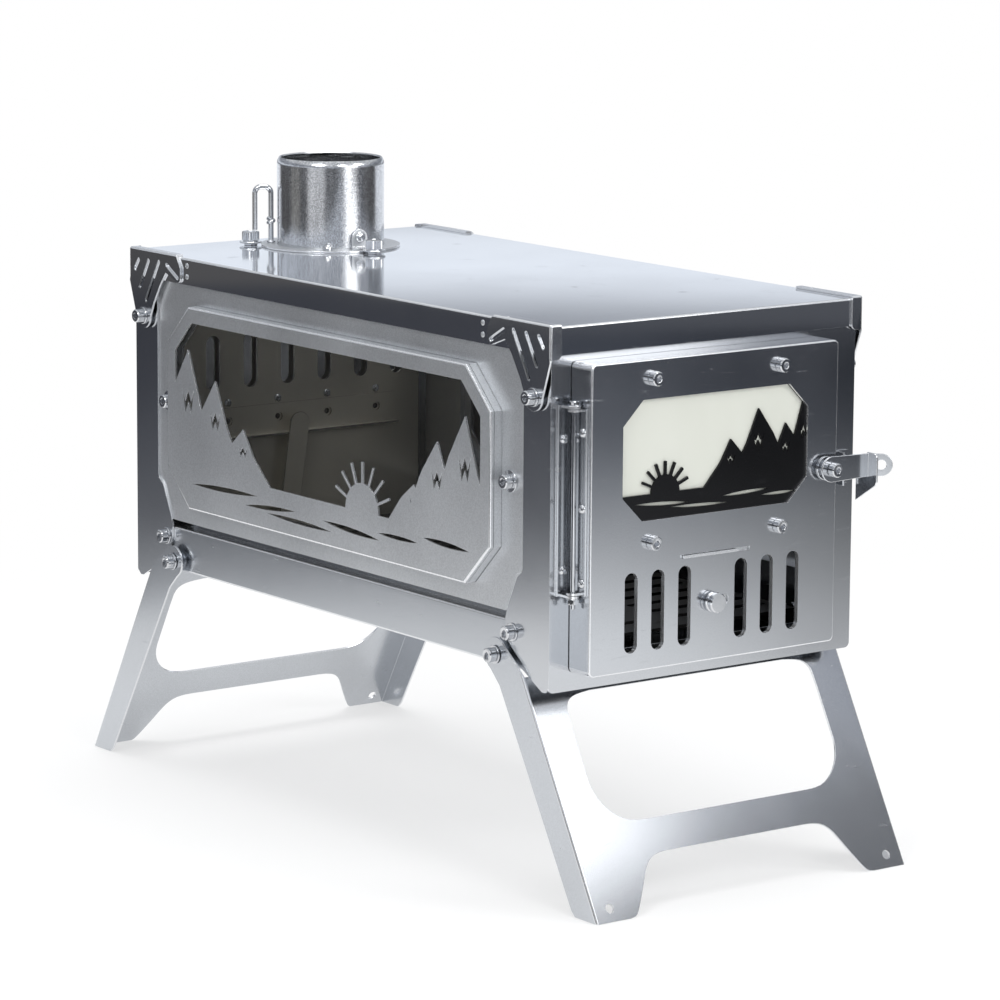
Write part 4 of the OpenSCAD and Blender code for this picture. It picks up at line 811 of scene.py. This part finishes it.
def make_knob():
    """Grip on the air slide: a turned knob with a groove, on a stem with its rivet."""
    foot, length, radius = along(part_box("air_knob"), (0, -1, 0))
    knob = 5.7 * MM
    stem = 1.9 * MM
    plate = 4.7 * MM
    start = length - knob
    edge = 0.6 * MM
    profile = [(0, 0), (plate, 0), (plate, 1.1 * MM), (stem, 1.15 * MM), (stem, start),
               (radius - edge, start), (radius, start + edge), (radius, start + 1.6 * MM),
               (radius - edge, start + 2 * MM), (radius - edge, start + 2.6 * MM),
               (radius, start + 3 * MM), (radius, length - edge), (radius - edge, length),
               (0, length)]
    made = put([spun(profile, KNURL_STEPS)], foot, (0, -1, 0))
    piece("slide_knob", made, "screw_steel", "air_control", ["air_knob"])


def make_hinge_pin():
    """Long pin with a hexagon head and a ring under it, and the nut with its ring at the foot."""
    foot, length, radius = along(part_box("hinge_pin"), (0, 0, 1))
    pin = 1.25 * MM
    head, ring = 2 * MM, 0.6 * MM
    head_r, nut_r = 2.8 * MM, 3 * MM
    rod = spun([(0, 0), (pin * 0.7, 0), (pin, 0.5 * MM), (pin, length - head - ring),
                (radius - 0.1 * MM, length - head - ring), (radius, length - head - ring / 2),
                (radius - 0.1 * MM, length - head), (head_r - 0.2 * MM, length - head),
                (head_r, length - head + 0.3 * MM), (head_r, length - 0.4 * MM),
                (head_r - 0.6 * MM, length), (0, length)])
    hexed(rod, head_r, length - head, length)
    piece("hinge_pin_rod", put([rod], foot, (0, 0, 1)), "screw_steel", "stove",
          ["hinge_pin"])
    foot, length, radius = along(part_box("hinge_pin_nut"), (0, 0, 1))
    ring_foot = foot + Vector((0, 0, length - ring))
    parts = [put([nut(nut_r, pin, length - ring)], foot, (0, 0, 1)),
             put([washer(radius, pin, ring)], ring_foot, (0, 0, 1))]
    piece("hinge_nut", joined(parts), "screw_steel", "stove", ["hinge_pin_nut"])


# Flue collar, studs and wire loop

RIM_ROLL = 6 * MM
RIM_TURN = 41
RIM_ROLL_STEPS = 9
COLLAR_STEPS = 128


def make_collar():
    """Tube whose mouth is rolled inwards by a part of a circle and ends in a rounded lip."""
    low, high = COLLAR
    radius = (high.x - low.x) / 2
    turn_z = high.z - RIM_ROLL * math.sin(math.radians(RIM_TURN))

    def rolled(r, angles):
        return [(radius - RIM_ROLL + r * math.cos(math.radians(a)),
                 turn_z + r * math.sin(math.radians(a))) for a in angles]

    rounding = SHEET * 0.18
    outer = rolled(RIM_ROLL, np.linspace(0, RIM_TURN - 2, RIM_ROLL_STEPS))
    lip = rolled(RIM_ROLL - rounding, [RIM_TURN]) + rolled(RIM_ROLL - SHEET + rounding, [RIM_TURN])
    inner = rolled(RIM_ROLL - SHEET, np.linspace(RIM_TURN - 2, 0, RIM_ROLL_STEPS))
    foot = [(radius - SHEET, low.z), (radius, low.z)]
    bm = spun(foot + outer + lip + inner, COLLAR_STEPS, closed=True)
    made = put([bm], collar_axis(), (0, 0, 1))
    piece("collar_tube", made, "collar_steel", "stove", ["flue_collar"])


STUD_RADIUS = 2 * MM
STUD_BORE = 1.9 * MM
# Hex nuts on a stud: radius and height, below the lid and on it
LOWER_NUT = (4 * MM, 3 * MM)
UPPER_NUT = (4.2 * MM, 1.2 * MM)
UPPER_NUT_GAP = 0.05 * MM


def make_studs():
    """Welded studs with their hex nuts, and knurled thumb nuts on top."""
    up = (0, 0, 1)
    parts, nuts = [], []
    for box in islands("flue_studs"):
        centre = (box[0] + box[1]) / 2
        foot = Vector((centre.x, centre.y, box[0].z))
        on_lid = Vector((centre.x, centre.y, LID[1].z + UPPER_NUT_GAP))
        length = box[1].z - box[0].z
        rod = spun([(0, 0), (STUD_RADIUS - 0.3 * MM, 0), (STUD_RADIUS, 0.3 * MM),
                    (STUD_RADIUS, length - 0.5 * MM), (STUD_RADIUS - 0.4 * MM, length),
                    (0, length)], SMALL_STEPS)
        parts.append(put([rod], foot, up))
        parts.append(put([nut(LOWER_NUT[0], STUD_BORE, LOWER_NUT[1])], foot, up))
        parts.append(put([nut(UPPER_NUT[0], STUD_BORE, UPPER_NUT[1])], on_lid, up))
    piece("stud_set", joined(parts), "screw_steel", "stove", ["flue_studs"])
    for box in islands("thumb_nuts"):
        foot, length, radius = along(box, up)
        nuts.append(put([thumb_nut(radius, length)], foot, up))
    piece("thumb_nut_set", joined(nuts), "screw_steel", "stove", ["thumb_nuts"])


def thumb_nut(radius, length):
    """Knurled nut with a narrower neck below and a chamfered top."""
    bore, rim = 2.02 * MM, 0.5 * MM
    neck = radius - 0.45 * MM
    profile = [(bore, 0), (neck, 0), (neck, rim), (radius, rim + 0.2 * MM),
               (radius, length * 0.5), (radius, length - rim), (neck, length - 0.1 * MM),
               (neck - 0.5 * MM, length), (bore + 0.4 * MM, length), (bore, length - 0.4 * MM)]
    bm = spun(profile, KNURL_STEPS, closed=True)
    fluted(bm, radius, 0.4 * MM, rim, length, KNURL_STEPS)
    return bm


WIRE_RADIUS = 1.5 * MM
WIRE_BEND = 3.4 * MM
WIRE_RESOLUTION = 4
# The loop's bearing from the collar's axis and its legs' distances from it
WIRE_BEARING = math.radians(143)
WIRE_FROM_AXIS = (33.4 * MM, 42.4 * MM)
# Heights over the lid: the short leg's end, the coil's foot and the stop ring
WIRE_END = 8.4 * MM
COIL_FOOT = 12.6 * MM
RING_FOOT = 1.55 * MM
COIL_WIRE = 1.08 * MM
COIL_REACH = 1.5 * MM
COIL_PITCH = 2.3 * MM
COIL_TURNS = 1.3
COIL_STEPS = 16


def wire_places():
    """Axes of the loop's legs and its heights, read from the CAD node."""
    low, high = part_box("wire_loop")
    centre = collar_axis()
    out = Vector((math.cos(WIRE_BEARING), math.sin(WIRE_BEARING), 0))
    inner = centre + out * WIRE_FROM_AXIS[0]
    outer = centre + out * WIRE_FROM_AXIS[1]
    return inner, outer, out, low.z, high.z


def make_wire_loop():
    """Bent wire: one leg down to the flange with a coil wound round it, one short leg."""
    inner, outer, out, low, high = wire_places()
    up = Vector((0, 0, 1))
    top = high - WIRE_RADIUS
    path = [inner + up * (low + 0.1 * MM)]
    path += [inner + up * z for z in np.linspace(low + 2 * MM, top - WIRE_BEND, 6)]
    turn = [math.radians(a) for a in range(0, 91, 15)]
    path += [inner + out * WIRE_BEND * (1 - math.cos(t))
             + up * (top - WIRE_BEND * (1 - math.sin(t))) for t in turn[1:]]
    path += [outer - out * WIRE_BEND * (1 - math.sin(t))
             + up * (top - WIRE_BEND * (1 - math.cos(t))) for t in turn]
    lid = LID[1].z
    path += [outer + up * z
             for z in np.linspace(top - WIRE_BEND - 4 * MM, lid + WIRE_END + 0.1 * MM, 4)]
    side = up.cross(out)
    coil = []
    for k in range(int(COIL_TURNS * COIL_STEPS) + 1):
        t = math.tau * k / COIL_STEPS
        coil.append(inner + (out * math.cos(t) + side * math.sin(t)) * COIL_REACH
                    + up * (lid + COIL_FOOT + COIL_PITCH * k / COIL_STEPS))
    ring = spun([(WIRE_RADIUS * 0.9, 0), (2.2 * MM, 0), (2.4 * MM, 0.2 * MM), (2.4 * MM, 0.8 * MM),
                 (2.2 * MM, MM), (WIRE_RADIUS * 0.9, MM)], SMALL_STEPS, closed=True)
    parts = [tube_along("loop", path, WIRE_RADIUS), tube_along("coil", coil, COIL_WIRE),
             put([ring], inner + up * (lid + RING_FOOT), up)]
    piece("wire_loop_bent", joined(parts), "screw_steel", "wire_loop", ["wire_loop"])


def tube_along(name, points, radius):
    """Round wire along a path, as a bmesh, with closed ends."""
    curve = bpy.data.curves.new(name, "CURVE")
    curve.dimensions = "3D"
    curve.bevel_depth = radius
    curve.bevel_resolution = WIRE_RESOLUTION
    curve.use_fill_caps = True
    spline = curve.splines.new("POLY")
    spline.points.add(len(points) - 1)
    for at, point in zip(points, spline.points):
        point.co = (*at, 1)
    holder = bpy.data.objects.new(name, curve)
    mesh = holder.to_mesh()
    bm = bmesh.new()
    bm.from_mesh(mesh)
    holder.to_mesh_clear()
    bpy.data.objects.remove(holder)
    bpy.data.curves.remove(curve)
    bmesh.ops.remove_doubles(bm, verts=bm.verts, dist=0.005 * MM)
    return bm


# Stage, lights and camera

WHITE = (1, 1, 1, 1)
# What the world shows to each kind of ray: (colour, strength)
SEEN_SKY = (WHITE, 1)
MIRRORED_SKY = ((0.94, 0.97, 1, 1), 0.72)
SKY_LIGHT = ((0.96, 0.98, 1, 1), 0.55)
FLOOR_REACH = 6
FLOOR_DROP = 0.3 * MM
FLOOR_WHITE_NEAR = 0.6
# Distances from the stove between which the floor turns to plain white
FLOOR_FADE = (0.3, 0.9)


def make_world():
    """White where it is seen, a little darker where it is mirrored, and a dim even light."""
    world = bpy.data.worlds.new("studio")
    bpy.context.scene.world = world
    world.use_nodes = True
    world.node_tree.nodes.clear()
    sky = Nodes(world.node_tree)
    seen, mirrored, light = (
        sky.node("ShaderNodeBackground", sockets={"Color": colour, "Strength": strength})
        for colour, strength in (SEEN_SKY, MIRRORED_SKY, SKY_LIGHT))
    direct = sky.node("ShaderNodeMixShader", sockets={
        "Fac": sky.seen_ray(), 1: light.outputs[0], 2: seen.outputs[0]})
    path = sky.node("ShaderNodeLightPath")
    whole = sky.node("ShaderNodeMixShader", sockets={
        "Fac": path.outputs["Is Glossy Ray"], 1: direct.outputs[0], 2: mirrored.outputs[0]})
    sky.node("ShaderNodeOutputWorld", sockets={"Surface": whole.outputs[0]})


def make_floor():
    bm = bmesh.new()
    bmesh.ops.create_grid(bm, x_segments=1, y_segments=1, size=FLOOR_REACH)
    mesh = bpy.data.meshes.new("floor")
    bm.to_mesh(mesh)
    bm.free()
    floor = bpy.data.objects.new("floor", mesh)
    floor.location.z = -FLOOR_DROP
    bpy.context.scene.collection.objects.link(floor)
    pale = Finish("pale_floor", 0.0)
    pale.set(Base_Color=(0.93, 0.93, 0.93, 1), Roughness=0.9, Specular_IOR_Level=0.1)
    lit = pale.node("ShaderNodeEmission", sockets={"Color": WHITE, "Strength": 1.0})
    x, y = pale.part_of_place("X"), pale.part_of_place("Y")
    far = pale.band((x * x + y * y) ** 0.5, *FLOOR_FADE)
    share = pale.seen_ray() * (far * (1 - FLOOR_WHITE_NEAR) + FLOOR_WHITE_NEAR)
    both_ways = pale.node("ShaderNodeMixShader", sockets={
        "Fac": share, 1: pale.shader.outputs[0], 2: lit.outputs[0]})
    pale.plug(pale.tree.nodes["Material Output"].inputs["Surface"], both_ways.outputs[0])
    mesh.materials.append(pale.material)


# The reflection screen: its tones are listed as (height, brightness) from its foot upwards
SCREEN_RADIUS = 0.65
SCREEN_HEIGHT = 0.60
SCREEN_STEPS = 96
SCREEN_POWER = 1.8
FRONT_STOPS = [
    (0.00, (1.15, 1.17, 1.19)), (0.034, (1.06, 1.08, 1.10)), (0.075, (0.62, 0.635, 0.65)),
    (0.114, (0.36, 0.375, 0.40)), (0.155, (0.13, 0.14, 0.165)), (0.185, (0.062, 0.070, 0.088)),
    (0.235, (0.050, 0.056, 0.072)), (0.30, (0.10, 0.105, 0.12)), (0.35, (1.15, 1.17, 1.19)),
    (0.60, (1.20, 1.20, 1.20))
]
SIDE_STOPS = [
    (0.00, (0.62, 0.64, 0.66)), (0.022, (0.36, 0.37, 0.385)), (0.055, (0.17, 0.175, 0.19)),
    (0.10, (0.115, 0.12, 0.135)), (0.145, (0.075, 0.078, 0.092)), (0.20, (0.055, 0.058, 0.070)),
    (0.325, (0.10, 0.105, 0.12)), (0.345, (0.86, 0.91, 0.99)), (0.375, (0.94, 1.00, 1.09)),
    (0.390, (0.70, 0.74, 0.81)), (0.406, (0.30, 0.32, 0.36)), (0.60, (0.38, 0.40, 0.44))
]
# Azimuth that the door mirrors, with the angles to which the front's tones reach and fade
FRONT_AZIMUTH, FRONT_REACH, FRONT_FADE = -63, 20, 42
# Dimmer stretch right of it: azimuth, reach, fade and depth, and the heights where it ends
RIGHT_DIM = (-18, 32, 52, 0.55)
RIGHT_DIM_TOP = (0.50, 0.36)

# Upright bands of light and shade are (azimuth, half width in degrees, brightness)
COLLAR_LOW, COLLAR_HIGH = 0.218, 0.30
COLLAR_DARK = (0.105, 0.103, 0.105)
COLLAR_BANDS = [
    (48, 50, (1.03, 1.07, 1.14)), (145, 10, (0.30, 0.295, 0.28)), (-166, 20, (0.92, 0.93, 0.95)),
    (-88, 9, (2.1, 2.12, 2.16)), (-58, 14, (0.10, 0.105, 0.12))
]
COLLAR_FADE = 3
LEG_HEIGHTS = (0.29, 0.32)
LEG_BANDS = [(-76, 15, (2.4, 2.41, 2.43)), (-44, 16, (0.41, 0.43, 0.48))]
LEG_FADE = 1.5
# What the bends of the posts mirror, by the height that each band reaches up to
BEND_BANDS = {0.21: (-160, 12, (0.06, 0.063, 0.07)), 0.17: (-118, 16, (1.35, 1.38, 1.40))}
BEND_FADE = 4
BEND_FADE_HEIGHT = 0.05


def facing(finish, azimuth, inner, outer):
    """1 on the screen within so many degrees of an azimuth, 0 beyond the outer angle."""
    turn = math.radians(azimuth)
    towards = (finish.part_of_place("X") * (math.cos(turn) / SCREEN_RADIUS)
               + finish.part_of_place("Y") * (math.sin(turn) / SCREEN_RADIUS))
    return finish.band(towards, math.cos(math.radians(outer)), math.cos(math.radians(inner)))


def screen_tones(finish, stops):
    height = finish.part_of_place("Z") * (1 / SCREEN_HEIGHT)
    return finish.ramp(height, [(z / SCREEN_HEIGHT, shade(tone, 1 / SCREEN_POWER))
                                for z, tone in stops])


def banded(finish, tone, band, fade, level=1):
    """The screen's tone with one upright band laid over it at the given level."""
    azimuth, half, brightness = band
    share = facing(finish, azimuth, half - fade, half + fade) * level
    return finish.colour(share, tone, shade(brightness, 1 / SCREEN_POWER))


def screen_tone(finish):
    """Colour of the whole screen, from the large tones to the narrow bands."""
    height = finish.part_of_place("Z")
    tone = finish.colour(facing(finish, FRONT_AZIMUTH, FRONT_REACH, FRONT_FADE),
                         screen_tones(finish, SIDE_STOPS), screen_tones(finish, FRONT_STOPS))
    azimuth, reach, fade, depth = RIGHT_DIM
    dim = facing(finish, azimuth, reach, fade) * depth * finish.band(height, *RIGHT_DIM_TOP)
    tone = finish.colour(dim, tone, (0, 0, 0))
    for band in LEG_BANDS:
        tone = banded(finish, tone, band, LEG_FADE, finish.band(height, *LEG_HEIGHTS))
    for top, band in BEND_BANDS.items():
        tone = banded(finish, tone, band, BEND_FADE,
                      finish.band(height, top, top - BEND_FADE_HEIGHT))
    at_collar = (finish.band(height, COLLAR_LOW - 0.006, COLLAR_LOW)
                 * finish.band(height, COLLAR_HIGH + 0.01, COLLAR_HIGH))
    mirrored = shade(COLLAR_DARK, 1 / SCREEN_POWER)
    for band in COLLAR_BANDS:
        mirrored = banded(finish, mirrored, band, COLLAR_FADE)
    return finish.colour(at_collar, tone, mirrored)


def make_reflection_screen():
    """Round grey screen that only the metal sees: pale at its foot, dark above, with lights."""
    bm = spun([(SCREEN_RADIUS, 0), (SCREEN_RADIUS, SCREEN_HEIGHT)], SCREEN_STEPS)
    mesh = bpy.data.meshes.new("reflection_screen")
    bm.to_mesh(mesh)
    bm.free()
    screen = bpy.data.objects.new("reflection_screen", mesh)
    bpy.context.scene.collection.objects.link(screen)
    screen.visible_camera = False
    screen.visible_diffuse = False
    screen.visible_shadow = False
    screen.visible_transmission = False
    finish = Finish("screen_grey", 0.0)
    finish.set(Base_Color=(0, 0, 0, 1), Specular_IOR_Level=0.0,
               Emission_Color=screen_tone(finish), Emission_Strength=SCREEN_POWER)
    mesh.materials.append(finish.material)


# Soft round lamps, all aimed at the stove's middle: place, diameter and power
LAMPS = {
    "top_lamp": ((0.1, 0.1, 2.2), 1.6, 26),
    "left_lamp": ((-1.9, -0.9, 1.5), 1.0, 16),
    "right_lamp": ((1.2, -1.9, 1.3), 0.9, 12),
    "camera_lamp": ((-0.35, -2.3, 1.5), 0.7, 8)
}
LAMP_AIM = Vector((0, 0, 0.15))


def make_lamps():
    for name, (at, size, power) in LAMPS.items():
        data = bpy.data.lights.new(name, "AREA")
        data.shape = "DISK"
        data.size = size
        data.energy = power
        lamp = bpy.data.objects.new(name, data)
        lamp.location = at
        lamp.rotation_euler = (LAMP_AIM - Vector(at)).to_track_quat("-Z", "Y").to_euler()
        bpy.context.scene.collection.objects.link(lamp)


def make_camera():
    data = bpy.data.cameras.new("camera")
    data.sensor_width = SENSOR_WIDTH
    data.lens = CAMERA_LENS
    data.clip_start = CLIP_START
    data.clip_end = CLIP_END
    camera = bpy.data.objects.new("camera", data)
    camera.matrix_world = (Matrix.Translation(CAMERA_AT)
                           @ Matrix.Rotation(-CAMERA_YAW, 4, "Z")
                           @ Matrix.Rotation(math.pi / 2 - CAMERA_PITCH, 4, "X")
                           @ Matrix.Rotation(CAMERA_ROLL, 4, "Z"))
    bpy.context.scene.collection.objects.link(camera)
    bpy.context.scene.camera = camera


make_camera()
dress_sheets()
make_fasteners()
make_knob()
make_hinge_pin()
make_collar()
make_studs()
make_wire_loop()
make_world()
make_floor()
make_reflection_screen()
make_lamps()
bpy.context.scene.view_settings.view_transform = "Standard"
